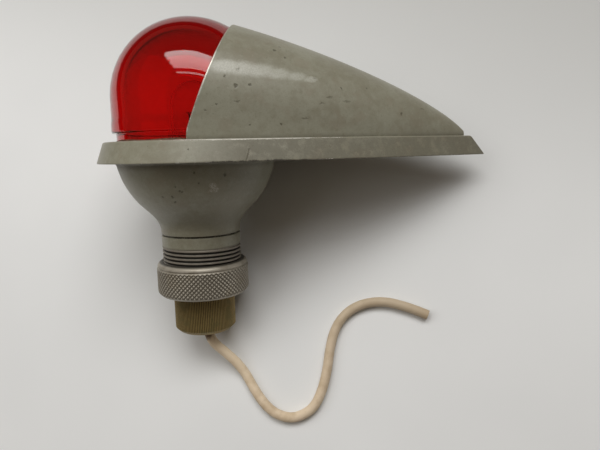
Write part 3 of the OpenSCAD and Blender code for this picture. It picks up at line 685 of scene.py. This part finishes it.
flange_mesh = grid_mesh("casting_flange", plate_points(), True)
print("flange plate:", len(flange_mesh.polygons), "faces")

# %% [markdown]
# Screws hold the cowl from below, and tapped holes take the screws that hold
# the lamp, so the plate gets three countersinks and three blind holes. A
# boolean cuts them, and the plate is welded after each cut, because loose
# points left by the first cut spoil the second.

# %% Holes from below
COWL_SCREWS = [(30.0, 22.6), (30.0, -22.6), (COWL_REACH - 11.4, 0.0)]
FIXINGS = [(44.0, 17.0), (44.0, -17.0), (80.0, 0.0)]
HOLE_SIDES = 40


def cutter(name, spots, profile):
    """One object of turned cutters, a copy of the profile at each spot."""
    ring = turned_points(profile, HOLE_SIDES).reshape(-1, 3)
    quads = facing_out(ring, grid_quads(len(profile), HOLE_SIDES))
    points = np.concatenate([ring + [x, y, 0] for x, y in spots])
    mesh = new_mesh(name, lay(points), np.concatenate([quads + k * len(ring) for k in range(len(spots))]))
    weld(mesh)
    return placed(name, mesh)


def cut(mesh, tool):
    """The mesh with the tool's volume taken out of it, welded."""
    work = placed("work", mesh)
    step = work.modifiers.new("cut", "BOOLEAN")
    step.object, step.operation, step.solver = tool, "DIFFERENCE", "EXACT"
    result = bpy.data.meshes.new_from_object(work.evaluated_get(bpy.context.evaluated_depsgraph_get()))
    weld(result, 1e-6)
    bpy.data.objects.remove(work)
    bpy.data.objects.remove(tool)
    return result


sink = cutter("sink", COWL_SCREWS, [(0, -1), (3.9, -1), (3.9, 0.0), (1.72, 2.0), (1.72, 9), (0, 9)])
blind = cutter("blind", FIXINGS, [(0, -1), (2.3, -1), (2.3, 0.0), (2.0, 0.35), (2.0, 5.2), (0, 5.9)])
flange_mesh = cut(cut(flange_mesh, sink), blind)
print("flange after cutting:", len(flange_mesh.polygons), "faces")

# %% [markdown]
# Wear follows the shape, so it is worked out from it: the flange's top edge is
# rubbed to pale metal and partly painted paler as a highlight, the more beside
# the dome, its lower edge is chipped, dirt gathers along the cowl's foot, and
# the side is painted darker towards the tail as painted shade.

# %% Flange wear, painted highlight and painted shade
def outline_gap(x, y):
    """How far inside the teardrop a plan point is: from the nose circle or the nearer long arc."""
    nose = NOSE_R - np.hypot(x, y)
    side = ARC - np.hypot(x - ARC_X, np.abs(y) + ARC_Y)
    return np.where(np.arctan2(np.abs(y), x) > np.pi / 2 - TANGENT, nose, side)


x, y, z = lamp_points(flange_mesh).T
gap = outline_gap(x, y)
top_edge = bell(np.hypot(z - FLANGE_T, gap - FLANGE_BEVEL), 0.62)
# Beside the dome the top edge is painted paler still: a painted highlight over the wear.
sheen_by_dome = ramp(x, -6, 2) * ramp(x, 58, 33)
by_bowl = ramp(x, 2, 10) * ramp(x, 50, 38)
# The side and its bevels are painted darker towards the tail: painted shade.
shade_by_tail = 0.8 * ramp(x, 0, 20) * (gap < FLANGE_BEVEL)
foot_line = bell(gap - FLANGE_BEVEL - 1.6, 1.0) * (z > FLANGE_T - 0.2)
joint_line = bell(np.hypot(x, y) - 30.0, 1.2)
piece("casting_flange", flange_mesh, "light_body", "body_casting", "grey_green_paint", paint, 38,
      edge=(0.76 + 0.6 * sheen_by_dome) * top_edge + (0.78 + 0.2 * by_bowl) * bell(np.hypot(z, gap), 0.7),
      chip=(0.50 + 0.52 * by_bowl) * bell(np.hypot(z, gap), 1.15),
      grime=np.clip(foot_line * 0.5 + joint_line * 0.8 + shade_by_tail, 0, 1))

# %% [markdown]
# Below the flange the same casting is a hollow bowl that draws in to a threaded
# neck. It is one profile turned about the lamp axis. Rings cut by a profile
# alone would pass for a thread, but this one is a real helix: the radius falls
# by a triangle wave of height and angle together.

# %% Bowl and neck
NECK_COLS, THREAD_TOP, THREAD_FOOT = 300, -31.9, -39.55
GROOVE_STEEP, GROOVE_LAND, GROOVE_DEPTH = 1.5, 0.42, THREAD_DEPTH * 0.95
bowl_curve = smooth_through([(30.3, -0.02), (29.45, -0.7), (29.0, -2.4), (27.8, -6.2), (26.5, -9.0),
                             (24.9, -11.8), (22.6, -14.9), (20.2, -17.4), (17.9, -19.7), (16.2, -22.0),
                             (15.25, -24.4), (NECK_R, -26.3)])
neck_line = along(rounded([(NECK_R, -26.4), (NECK_R, -26.95), (NECK_R - 0.9, -27.05), (NECK_R - 0.9, -27.6),
                           (NECK_R, -27.75), (NECK_R, THREAD_TOP)], 0.1, 3), 0.6)
thread_line = along([(NECK_R, THREAD_TOP - 0.05), (NECK_R, THREAD_FOOT + 0.05)], 0.075)
neck_low = [(14.6, -39.6), (14.6, -45.5), (14.2, -45.95), (12.9, -45.95)]
neck_in = [(NECK_BORE, -45.6), (NECK_BORE, -21.8), (15.8, -18.2), (19.0, -14.6), (22.2, -10.6), (24.4, -5.5),
           (25.2, 2.98), (29.4, 2.98), (29.4, 0.0)]
bowl_profile = np.concatenate([bowl_curve[:-1], neck_line, thread_line, neck_low, neck_in])
bowl = turned_points(bowl_profile, NECK_COLS)
r, z = bowl_profile[:, :1], bowl_profile[:, 1:]
in_thread = ramp(z, THREAD_TOP, THREAD_TOP - 0.9) * (z > THREAD_FOOT) * (r > 14.7)
helix = tri(z / THREAD_PITCH + np.arange(NECK_COLS) / NECK_COLS)
groove = np.clip(helix * GROOVE_STEEP - GROOVE_LAND, 0, 1)
drawn_in(bowl, GROOVE_DEPTH * groove * in_thread, NECK_R)
bowl_mesh = grid_mesh("casting_bowl", bowl, True)
x, y, z = lamp_points(bowl_mesh).T
r = np.hypot(x, y)
bowl_grime = 0.8 * bell(z, 1.6) + 0.3 * bell(z + 22, 3.0) + 0.2 * bell(z + 4, 5.0) + ramp(z, -31.6, -32.0)
piece("casting_bowl", bowl_mesh, "light_body", "body_casting", "grey_green_paint", paint,
      edge=0.5 * bell(z + 26.6, 0.4) + 0.5 * bell(z + 28.0, 0.3), grime=np.clip(bowl_grime, 0, 1),
      chip=ramp(r, 14.95, 14.65) * (np.abs(z + 27.35) < 0.6), crest=ramp(r, 14.1, 15.0))

# %% [markdown]
# The thread has lost its paint: it is dark, oily metal, its crests paler and its
# grooves darker, partly from wear and partly painted light and shade. It is the
# same mesh as the bowl, so only its faces get the second material.

# %% Thread finish
def thread_finish():
    f = Finish("neck_thread", Metallic=0.35)
    grain = f.noise(f.lamp(), 1.8, 4, 0.65)
    # Crests paler and grooves darker: partly wear, partly painted light and shade.
    lit = f.mask(f.value("crest") + (grain - 0.5) * 0.5, 0.45, 0.95)
    return f.surface(Base_Color=f.mix((0.035, 0.031, 0.026), (0.27, 0.245, 0.205), lit),
                     Roughness=0.42 + grain * 0.25, Normal=f.bump(grain, 0.3, 0.00012))


bowl_mesh.materials.append(thread_finish())
x, y, z = lamp_points(bowl_mesh, "polygons", "center").T
on_thread = (z < THREAD_TOP + 0.15) & (np.hypot(x, y) > 13.0)
bowl_mesh.polygons.foreach_set("material_index", on_thread.astype(np.int32))
print("thread faces:", int(on_thread.sum()))

# %% [markdown]
# The cowl fairs the dome into the flange. It could be sculpted or lofted by
# hand; here each cross-section is an arch with upright sides and an elliptical
# top, whose width follows a teardrop and whose height follows the back line.
# The front edge leans back, and there the wall thins to lap the glass.

# %% Cowl
JOIN_X, FOOT_SHARE, SIDE_SHARE, LINING_SHORT, TIP_EASE = 3.9, 0.15, 0.33, 2.3, 0.5
THIN_TO, FULL_FROM = 12, 19
COWL_FRONT = GLASS_R + LAP_GAP + RIM_WALL
COWL_TIP = np.radians(TIP_ANGLE - TIP_EASE)
COWL_ARC = (COWL_REACH**2 - COWL_FRONT**2) / (2 * (COWL_REACH * np.sin(COWL_TIP) - COWL_FRONT))
COWL_X = COWL_REACH - COWL_ARC * np.sin(COWL_TIP)
COWL_Y = COWL_ARC * np.cos(COWL_TIP)


def half_width(x, w):
    """Half the cowl's width at x, set in by w: the front circle sqrt((R - w)^2 - x^2), then a long arc."""
    front = np.sqrt(np.maximum((COWL_FRONT - w)**2 - x * x, 0))
    back = np.sqrt(np.maximum((COWL_ARC - w)**2 - (x - COWL_X)**2, 0)) - COWL_Y
    return np.where(x < JOIN_X, front, np.maximum(back, 0.02))


def back_line(x, w):
    """Height of the cowl's back above the flange: rise (1 - (x / reach)^fall)^round."""
    share = x / (COWL_REACH - LINING_SHORT * w)
    return (COWL_RISE - w) * np.maximum(1 - share**COWL_FALL, 1e-5)**COWL_ROUND


def arch(x, a, w):
    """The arch at x: (x, b cos t, side + (h - s) sin t), where a = 0 and 1 are its feet and t runs
    from 0 to pi between its upright sides."""
    b, h = half_width(x, w), back_line(x, w)
    s = h * SIDE_SHARE * (1 - x / COWL_REACH)
    t = ramp(a, FOOT_SHARE, 1 - FOOT_SHARE) * np.pi
    side = np.minimum(np.minimum(a, 1 - a) / FOOT_SHARE, 1) * s
    return np.stack([x + 0 * a, b * np.cos(t), FLANGE_T + side + (h - s) * np.sin(t)], -1)


def rim_at(rise):
    """The front edge at a height: upright at its foot, then leaning back, with a soft bend between."""
    u = RIM_LEAN * (rise - RIM_FOOT)
    return RIM_FRONT + (u + np.sqrt(u * u + RIM_BEND)) / 2


def wall_at(x):
    """The cowl's wall at x: thin at the lap, then growing to full."""
    return RIM_WALL + (COWL_WALL - RIM_WALL) * ramp(x, THIN_TO, FULL_FROM)


print("cowl: front radius %.2f, arc radius %.2f" % (COWL_FRONT, COWL_ARC))

# %% [markdown]
# The loft runs from the lining's tail forwards, round the rim and back over the
# skin, so one grid gives both walls. A Solidify modifier couldn't thin the rim.
# What the grid leaves open is closed one by one: the feet, the rim's two ends
# and the tail.

# %% Cowl: mesh
COWL_ROWS, COWL_COLS, RIM_STEPS = 150, 150, 7
RIM_ROUND, RIM_BULGE, SKIN_STOP, LINING_STOP = 0.3, 0.32, 1.2, 1.6
a = np.linspace(0, 1, COWL_COLS + 1)[None]
s = np.linspace(0, 1, COWL_ROWS + 1)[:, None]
s = s**1.5 * (1 - s) + (1 - (1 - s)**1.3) * s
front = rim_at(arch(0.5 + 14 * np.sin(np.pi * a), a, 0)[..., 2] - FLANGE_T) + RIM_ROUND
skin = arch(front + (COWL_REACH - SKIN_STOP - front) * s, a, 0.0)
x_in = front + (COWL_REACH - LINING_SHORT * COWL_WALL - LINING_STOP - front) * s
lining = arch(x_in, a, wall_at(x_in))
round_rim = np.linspace(0, np.pi, RIM_STEPS)[1:-1]
rim = [arch(front - RIM_BULGE * np.sin(t), a, RIM_WALL * (1 - np.cos(t)) / 2) for t in round_rim]
cowl_grid = np.concatenate([lining[::-1], *rim[::-1], skin])


def cowl_faces(rows, inside):
    """The loft's quads, strips that join the feet, fans that close the tail, and the rim's ends."""
    m = COWL_COLS + 1
    last = (rows - 1) * m
    k = np.arange(COWL_COLS // 2)
    parts = [grid_quads(rows, m, wrap_cols=False)]
    rim_ends = []
    for side in (0, COWL_COLS):
        inner = np.arange(inside)[::-1] * m + side
        outer = np.arange(rows - inside, rows) * m + side
        parts.append(np.stack([inner[:-1], inner[1:], outer[1:], outer[:-1]], -1))
        rim_ends.append(tuple((np.arange(inside - 1, rows - inside + 1) * m + side).tolist()))
    for end in (0, last):
        parts.append(end + np.stack([k, k + 1, COWL_COLS - k - 1, COWL_COLS - k], -1))
    parts.append([[0, COWL_COLS, last + COWL_COLS, last]])
    return [tuple(dict.fromkeys(q)) for q in np.concatenate(parts).tolist()] + rim_ends


cowl_mesh = bpy.data.meshes.new("tail_cowl")
cowl_mesh.from_pydata(lay(cowl_grid.reshape(-1, 3)).tolist(), [], cowl_faces(len(cowl_grid), len(lining)))
weld(cowl_mesh, 1e-7)
print("cowl faces", len(cowl_mesh.polygons))

# %% [markdown]
# The cowl's paint wears to bright metal along its front rim, painted brighter
# about half way up as a painted highlight, and its foot is dirty where it meets
# the flange. Both follow from how far a point is from them.

# %% Cowl wear and painted highlight
x, y, z = lamp_points(cowl_mesh).T
rise = z - FLANGE_T
# Wear along the rim, painted brighter about half way up: a painted highlight.
rim_wear_and_sheen = bell(np.maximum(x - rim_at(rise) - 0.25, 0), 0.45) * (0.72 + 0.38 * bell(rise - 23, 12))
piece("tail_cowl", cowl_mesh, "light_body", "cowl", "grey_green_paint", paint, 42,
      edge=rim_wear_and_sheen, chip=0 * x, grime=0.8 * bell(rise, 0.9))

# %% [markdown]
# The dome is thick ruby glass: a half sphere on a short upright wall, with a
# bead at the bottom and a narrower foot that stands in the casting. A single
# skin would look like a shell of paint, so both skins are modelled: the inner
# one shows as a second edge.

# %% Glass dome
DOME_COLS, DOME_STEPS, FOOT_Z, BEAD = 180, 60, 3.65, 0.28


def dome_profile():
    """Outer pole, down the sphere and wall to the bead and foot, then up the inner skin."""
    t = np.linspace(0, np.pi / 2, DOME_STEPS)
    inner_r = GLASS_R - SEEN_WALL
    outer = np.stack([GLASS_R * np.sin(t), GLASS_Z + GLASS_R * np.cos(t)], -1)
    side = rounded([(GLASS_R, GLASS_Z), (GLASS_R, BEAD_Z + 5.2), (GLASS_R + BEAD, BEAD_Z + 3.4),
                    (GLASS_R + BEAD, BEAD_Z), (FOOT_R, BEAD_Z - 0.05), (FOOT_R, FOOT_Z),
                    (inner_r, FOOT_Z), (inner_r, GLASS_Z)], [1.2, 1.2, 0.7, 0.5, 0.4, 0.4], 7)
    inner = np.stack([inner_r * np.sin(t[::-1]), GLASS_Z + inner_r * np.cos(t[::-1])], -1)
    return np.concatenate([outer[:-1], along(side, 1.2), inner[1:]])


# %% [markdown]
# Real ruby glass is coloured through its thickness, so the red is an absorption
# inside it and its surface stays nearly clear: a red surface would be as pale
# at the thick rim as in the middle. The crown is darker in the photograph,
# which a surface tint that grows with height stands for. A little waviness
# keeps the reflections from looking machine-made.

# %% Glass finish
def glass_finish():
    f = Finish("red_glass", Transmission_Weight=1.0, IOR=1.5)
    spot = f.lamp()
    up = f.vector("DOT_PRODUCT", spot, (0.0, 0.0, 1.0))
    wall = f.mix((0.945, 0.90, 0.91), (0.76, 0.60, 0.62), f.mask(up, 30.0, 47.0))
    inside = f.add("ShaderNodeVolumeAbsorption", {}, {"Color": (0.932, 0.0, 0.05), "Density": 890.0})
    f.set(f.tree.nodes["Material Output"], "Volume", inside)
    return f.surface(Base_Color=f.mix((0.74, 0.46, 0.36), wall, f.mask(up, BEAD_Z - 0.6, BEAD_Z + 0.2)),
                     Roughness=0.015 + f.mask(f.noise(spot, 0.5, 4, 0.6), 0.5, 0.8) * 0.04,
                     Normal=f.bump(f.noise(spot, 0.07, 2, 0.5), 0.08, 0.0004))


dome_mesh = grid_mesh("red_glass_dome", turned_points(dome_profile(), DOME_COLS))
piece("red_glass_dome", dome_mesh, "light_body", "glass_dome", "red_glass", glass_finish(), 50, True)

# %% [markdown]
# Red-brown compound squeezes out between the glass foot and the casting. It is
# a turned ring too, but its visible fillet was smeared by hand, so the seeded
# wobble swells and thins it.

# %% Bedding
BED_COLS, BED_R, BED_SWELL, BED_SPREAD, BED_SEED = 200, 28.6, 0.35, 0.6, 11
FILLET = slice(3, 8)
bed_profile = np.array([(26.5, 3.02), (29.45, 3.02), (29.45, 7.45), (29.6, 7.53), (29.35, 7.66), (29.0, 7.82),
                        (28.72, 7.98), (28.62, 8.05), (BED_R, 7.6), (BED_R, 3.6), (26.5, 3.6)])
bed = turned_points(bed_profile, BED_COLS)
angle = np.arange(BED_COLS) * 2 * np.pi / BED_COLS
swell = 1 + BED_SWELL * wobble(np.cos(angle) * 6, np.sin(angle) * 6, BED_SEED)
r, z = bed_profile[FILLET, :1], bed_profile[FILLET, 1:]
drawn_in(bed[FILLET], (BED_R - r) * (swell - 1) * BED_SPREAD, r)
bed[FILLET, :, 2] = FLANGE_T + (z - FLANGE_T) * swell


def bedding_finish():
    f = Finish("bedding_compound", Roughness=0.75)
    lump = f.noise(f.lamp(), 1.2, 4, 0.65)
    return f.surface(Base_Color=f.mix((0.055, 0.025, 0.017), (0.16, 0.075, 0.04), f.mask(lump, 0.35, 0.65)),
                     Normal=f.bump(lump, 0.6, 0.0003))


piece("bedding_ring", grid_mesh("bedding_ring", bed, True), "light_body", "glass_bedding", "bedding_compound",
      bedding_finish(), 50)

# %% [markdown]
# The lock ring is knurled with crossed grooves, which a bump map would lose at
# the edge of the ring, so they are cut into the mesh. Where two slanted
# triangle waves meet, the smaller one gives rows of small pyramids, which is
# how a knurling wheel marks metal. A plain rounded band is left at the top.

# %% Lock ring
KNURL_COUNT, KNURL_RISE, KNURL_DEPTH, KNURL_STEEP, KNURL_FLAT = 66, 1.66, 0.42, 1.35, 0.82
RING_COLS = KNURL_COUNT * 10
top, low = -RING_TOP, -RING_BOTTOM
ring_upper = rounded([(NECK_R + 0.1, top), (RING_R - 1.6, top), (RING_R - 0.5, top - 0.7),
                      (RING_R - 0.2, top - 1.7), (RING_R - 0.65, top - 1.95), (RING_R - 0.6, top - 2.2),
                      (RING_R, top - 2.5)], [0.4, 0.5, 0.2, 0.12, 0.12], 4)
ring_side = along([(RING_R, top - 2.6), (RING_R, low + 1.3)], 0.15)
ring_lower = rounded([(RING_R, low + 1.3), (RING_R - 0.45, low + 0.75), (RING_R - 1.15, low),
                      (STEM_R + 1.2, low), (STEM_R + 1.0, low + 0.2), (STEM_R + 1.0, low + RING_LIP),
                      (NECK_R + 0.05, low + RING_LIP), (NECK_R + 0.05, top - 0.1)],
                     [0.2, 0.3, 0.15, 0.1, 0.1, 0.1], 4)
ring_profile = np.concatenate([ring_upper[:-1], ring_side, ring_lower[1:]])
ring = turned_points(ring_profile, RING_COLS)
r, z = ring_profile[:, :1], ring_profile[:, 1:]
turn = np.arange(RING_COLS) / RING_COLS * KNURL_COUNT
fade = ramp(z, top - 2.35, top - 2.85) * ramp(z, low + 0.85, low + 1.35) * (r > RING_R - 0.6)
crossed = np.minimum(tri(turn + z / KNURL_RISE), tri(turn - z / KNURL_RISE))
pyramid = np.minimum(crossed * KNURL_STEEP, KNURL_FLAT) / KNURL_FLAT
drawn_in(ring, KNURL_DEPTH * (1 - pyramid) * fade, RING_R)
# The top face beside the thread is painted dark: painted shade in the gap.
ring_oil = ramp(r, RING_R - 0.9, RING_R - 1.4) * (z > top - 1.5)


def ring_finish():
    f = Finish("lock_ring_metal", Metallic=0.4)
    spot = f.lamp()
    grain = f.noise(spot, 1.3, 4, 0.65)
    blotch = f.noise(spot, 0.16, 3, 0.5)
    # Crests paler and grooves darker: partly wear, partly painted light and shade.
    lit = f.mask(f.value("crest") + (grain - 0.5) * 0.45 + (blotch - 0.5) * 0.5, 0.3, 0.95)
    # The last coat is painted shade on the top face beside the thread.
    colour = f.coats(f.mix((0.17, 0.152, 0.12), (0.40, 0.37, 0.31), lit),
                     ((0.20, 0.17, 0.12), f.mask(blotch, 0.5, 0.66) * 0.45),
                     ((0.035, 0.030, 0.022), f.value("oil") * 0.9))
    return f.surface(Base_Color=colour, Roughness=0.36 + grain * 0.2, Normal=f.bump(grain, 0.25, 0.0001))


piece("knurled_lock_ring", grid_mesh("knurled_lock_ring", ring, True), "lock_ring", "lock_ring",
      "bare_grey_metal", ring_finish(), 60, crest=np.where(fade > 0, pyramid, 0.95),
      oil=np.repeat(ring_oil, RING_COLS))

# %% [markdown]
# The gland nut is brass gone dark, with fine straight knurling down to its
# bevelled end, which the lead leaves through. It is made as the ring is, with
# one upright triangle wave instead of two slanted ones.

# %% Gland nut
FLUTES, FLUTE_DEPTH, FLUTE_STEEP, FLUTE_FLAT = 112, 0.22, 1.3, 0.9
NUT_COLS = FLUTES * 6
top, low = -NUT_TOP, -NUT_BOTTOM
nut_upper = rounded([(STEM_R + 0.3, top), (NUT_R - 0.5, top), (NUT_R, top - 0.6), (NUT_R, top - 1.0)],
                    [0.3, 0.3], 4)
nut_side = along([(NUT_R, top - 1.0), (NUT_R, low + 1.9)], 0.4)
nut_lower = rounded([(NUT_R, low + 1.9), (NUT_R, low + NUT_BEVEL), (NUT_R - NUT_BEVEL, low),
                     (NUT_MOUTH + 0.9, low), (NUT_MOUTH, low + 0.9), (NUT_MOUTH, low + 3.5),
                     (STEM_R + 0.1, low + 3.6), (STEM_R + 0.1, top - 0.3)], [0.6, 0.5, 0.4, 0.4, 0.2, 0.2], 5)
nut_profile = np.concatenate([nut_upper[:-1], nut_side, nut_lower[1:]])
nut = turned_points(nut_profile, NUT_COLS)
r, z = nut_profile[:, :1], nut_profile[:, 1:]
fade = ramp(z, top - 0.25, top - 0.75) * ramp(z, low + 1.0, low + 1.8) * (r > NUT_R - 0.9)
turn = np.arange(NUT_COLS) / NUT_COLS * FLUTES
ridge = np.minimum(tri(turn) * FLUTE_STEEP, FLUTE_FLAT) / FLUTE_FLAT
drawn_in(nut, FLUTE_DEPTH * (1 - ridge) * fade, NUT_R)


def nut_finish():
    f = Finish("tarnished_brass", Metallic=0.6)
    spot = f.lamp()
    grain = f.noise(spot, 1.1, 4, 0.65)
    blotch = f.noise(spot, 0.22, 4, 0.6)
    # Ridges paler and flutes darker: partly wear, partly painted light and shade.
    lit = f.mask(f.value("crest") + (grain - 0.5) * 0.5 + (blotch - 0.5) * 0.6, 0.25, 1.0)
    colour = f.coats(f.mix((0.10, 0.073, 0.028), (0.36, 0.27, 0.11), lit),
                     ((0.15, 0.135, 0.06), f.mask(blotch, 0.48, 0.62) * 0.5))
    return f.surface(Base_Color=colour, Roughness=0.40 + grain * 0.22, Normal=f.bump(grain, 0.3, 0.00012))


piece("brass_gland_nut", grid_mesh("brass_gland_nut", nut, True), "gland_nut", "gland_nut", "tarnished_brass",
      nut_finish(), 60, crest=np.where(fade > 0, ridge, 0.8))

# %% [markdown]
# The inner pieces stay as the CAD model has them, because little of them shows:
# through the glass, in the gland's mouth and when the holder is drawn. Each gets
# a procedural finish on Object coordinates.

# %% Finishes for the inner pieces
def plain_finish(name, low, high, rough, metal=0.0, bump=0.2, **constants):
    """A two-colour mottle with grain, for a small inner piece, on Object coordinates."""
    f = Finish(name, Metallic=metal, **constants)
    spot = f.object_spot()
    grain = f.noise(spot, 1320, 3, 0.6)
    return f.surface(Base_Color=f.mix(low, high, f.mask(f.noise(spot, 220, 4, 0.6), 0.35, 0.65)),
                     Roughness=rough + (grain - 0.5) * 0.15, Normal=f.bump(grain, bump, 0.0001))


finishes = {
    "brass": plain_finish("dull_brass", (0.32, 0.23, 0.09), (0.50, 0.38, 0.17), 0.38, 0.9),
    "steel": plain_finish("dull_steel", (0.25, 0.25, 0.24), (0.42, 0.42, 0.40), 0.4, 0.9),
    "rubber": plain_finish("black_rubber", (0.012, 0.012, 0.012), (0.035, 0.033, 0.03), 0.7),
    "insulator": plain_finish("brown_moulding", (0.05, 0.022, 0.012), (0.10, 0.045, 0.025), 0.4),
    "copper": plain_finish("bare_copper", (0.42, 0.19, 0.09), (0.60, 0.30, 0.16), 0.35, 0.9),
    "black_glass": plain_finish("black_base_glass", (0.006, 0.006, 0.008), (0.015, 0.015, 0.02), 0.15),
    "solder": plain_finish("dull_solder", (0.30, 0.30, 0.31), (0.48, 0.48, 0.48), 0.4, 0.8),
    "clear": plain_finish("bulb_glass_clear", (0.96, 0.97, 0.97), (0.98, 0.99, 0.99), 0.08, bump=0.02,
                          Transmission_Weight=1.0, IOR=1.12),
    "wire": plain_finish("support_wire", (0.20, 0.20, 0.21), (0.35, 0.35, 0.37), 0.4, 0.9),
}
wearers = {
    "brass": "holder_base socket_tube terminal_post contact_plunger bulb_cap bulb_pins thrust_washer",
    "steel": "cowl_screws",
    "rubber": "holder_seal cable_grommet",
    "insulator": "insulator_block guide_disc",
    "copper": "lead_core",
    "black_glass": "bulb_base_insulator",
    "solder": "bulb_contact",
    "clear": "bulb_glass bulb_stem",
    "wire": "bulb_supports bulb_filament",
}
for finish_name, nodes in wearers.items():
    for node_name in nodes.split():
        node_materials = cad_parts[node_name].data.materials
        node_materials.clear()
        node_materials.append(finishes[finish_name])
print("finished the inner pieces in", len(wearers), "finishes")

# %% [markdown]
# The contact spring shortens when the bulb is pushed in: its low end stays on
# the terminal and its high end follows the plunger. A rigid spring would cut
# into the plunger there, and this one is a rigid coil made in place.

# %% Contact spring
WIRE_R, WIRE_SIDES, WIRE_ENDS = 0.225, 10, (0.6, 0.0)
COIL_R, COIL_TURNS, COIL_STEPS, COIL_LOW, COIL_HIGH = 2.3, 7, 24, -40.075, -30.425
turn = np.linspace(0, 2 * np.pi * COIL_TURNS, COIL_TURNS * COIL_STEPS + 1)
coil_rise = np.linspace(COIL_LOW, COIL_HIGH, len(turn))
coil_path = np.stack([COIL_R * np.cos(turn), COIL_R * np.sin(turn), coil_rise], -1)
coil_grid = capped(coil_path, tube(coil_path, WIRE_R, WIRE_SIDES), WIRE_ENDS)
coil_mesh = grid_mesh("contact_spring_coil", coil_grid)
weld(coil_mesh)
coil_mesh.shade_smooth()
coil_mesh.materials.append(finishes["steel"])
coil = placed("contact_spring_coil", coil_mesh)
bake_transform(coil)
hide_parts("contact_spring")
print("contact spring", len(coil_mesh.vertices), "points")

# %% [markdown]
# The lamp lies on a pale plain floor. Its colour darkens a little away from
# the camera as painted shade, as the photograph's surface does, because more or
# less light would change the lamp as well.

# %% Floor
FLOOR_HALF, FLOOR_POINTS = 3.0, 13


def staged(name, points, quads, material):
    """A flat mesh of the studio, faces up, which isn't part of the lamp."""
    mesh = new_mesh(name, points.reshape(-1, 3), quads[:, ::-1])
    mesh.materials.append(material)
    obj = placed(name, mesh)
    return obj


def floor_finish():
    f = Finish("pale_floor", Roughness=0.9, Specular_IOR_Level=0.2)
    spot = f.object_spot()
    near = f.mix((0.79, 0.81, 0.82), (0.83, 0.85, 0.86), f.mask(f.noise(spot, 9, 3, 0.5), 0.3, 0.7))
    # Painted shade: the floor's colour darkens away from the camera.
    beyond = f.mask(f.vector("DOT_PRODUCT", spot, (0.35, 0.94, 0.0)), -0.02, 0.16)
    return f.surface(Base_Color=f.mix(near, (0.53, 0.54, 0.535), beyond))


side = np.linspace(-FLOOR_HALF, FLOOR_HALF, FLOOR_POINTS)
floor_x, floor_y = np.meshgrid(side, side, indexing="ij")
staged("floor", np.stack([floor_x, floor_y, 0 * floor_x], -1),
       grid_quads(FLOOR_POINTS, FLOOR_POINTS, wrap_cols=False), floor_finish())
print("floor %.0f m across" % (2 * FLOOR_HALF))

# %% [markdown]
# Glass and metal show the room, which was dim beyond the small pale surface, so
# a dark flat ring lies round the middle of the floor. A darker world would show
# in them too, but it would take away the fill light. Only reflections see the
# ring: it casts no shadow, and the floor stays pale from every side.

# %% Dark surround
SURROUND_NEAR, SURROUND_FAR, SURROUND_LIFT, SURROUND_COLS = 0.36, 2.5, 0.0005, 64
band = [(SURROUND_NEAR, SURROUND_LIFT), (SURROUND_FAR, SURROUND_LIFT)]
surround = staged("dark_surround", turned_points(band, SURROUND_COLS), grid_quads(2, SURROUND_COLS),
                  Finish("dim_room", Base_Color=(0.012, 0.011, 0.010), Roughness=1.0).material)
for kind in ("camera", "diffuse", "transmission", "volume_scatter", "shadow"):
    setattr(surround, "visible_" + kind, False)
print("surround seen only in gloss")

# %% [markdown]
# The main light is a long window beyond the tail side, whose place and slanted
# end were worked out from its reflection in the dome: a wide bright band, a
# dark bar and a thin second band. One lamp would have a square end and an even
# glow, so it is five slats. A small soft light from the left and a dim, warm
# world fill the shadows.

# %% Light
def unit(v):
    """The vector at length 1."""
    return np.asarray(v, float) / np.linalg.norm(v)


def panel(name, at, back, across, width, height, radiance, colour):
    """One rectangular lamp at a place in metres: back points from the lamp's face away from the
    scene, across is its long side, and its power is radiance x pi x area."""
    data = bpy.data.lights.new(name, "AREA")
    data.shape, data.size, data.size_y = "RECTANGLE", width, height
    data.energy, data.color = radiance * np.pi * width * height, colour
    lamp = placed(name, data)
    stand(lamp, np.stack([across, np.cross(back, across), back], -1), at)
    return lamp


WINDOW_FAR, WINDOW_WHITE = 1.1, (1.0, 0.985, 0.96)
FILL_FAR, FILL_WIDE, FILL_TALL, FILL_GLOW, FILL_WHITE = 0.8, 0.73, 0.65, 1.55, (1.0, 0.98, 0.95)
# Each slat of the window: how far down, how wide, where it starts and ends along it, and its glow.
SLATS = [(-0.125, 0.11, -0.62, 0.34, 6.6), (-0.015, 0.11, -0.55, 0.34, 5.8), (0.095, 0.11, -0.48, 0.34, 5.0),
         (0.205, 0.11, -0.41, 0.34, 4.2), (0.37, 0.05, -0.34, 0.34, 4.0)]
back = unit((0.24, 0.52, 0.82))
level = unit((-0.908, 0.419, 0))
across = unit(-0.92 * level - 0.39 * np.cross(back, level))
lower = np.cross(across, back)
for k, (down, tall, start, end, glow) in enumerate(SLATS):
    at = (back + across * (start + end) / 2 + lower * down) * WINDOW_FAR
    panel("window_slat_%d" % k, at, back, across, (end - start) * WINDOW_FAR, tall * WINDOW_FAR,
          glow, WINDOW_WHITE)
back = unit((-0.60, 0.25, 0.76))
fill = panel("soft_fill", back * FILL_FAR, back, unit(np.cross([0, 0, 1.0], back)), FILL_WIDE, FILL_TALL,
             FILL_GLOW, FILL_WHITE)
fill.visible_glossy = False
world = bpy.data.worlds.new("studio")
world.use_nodes = True
background = world.node_tree.nodes["Background"].inputs
background["Color"].default_value = (1.0, 0.80, 0.62, 1.0)
background["Strength"].default_value = 0.10
bpy.context.scene.world = world
bpy.context.scene.view_settings.view_transform = "Standard"
print("lights placed")
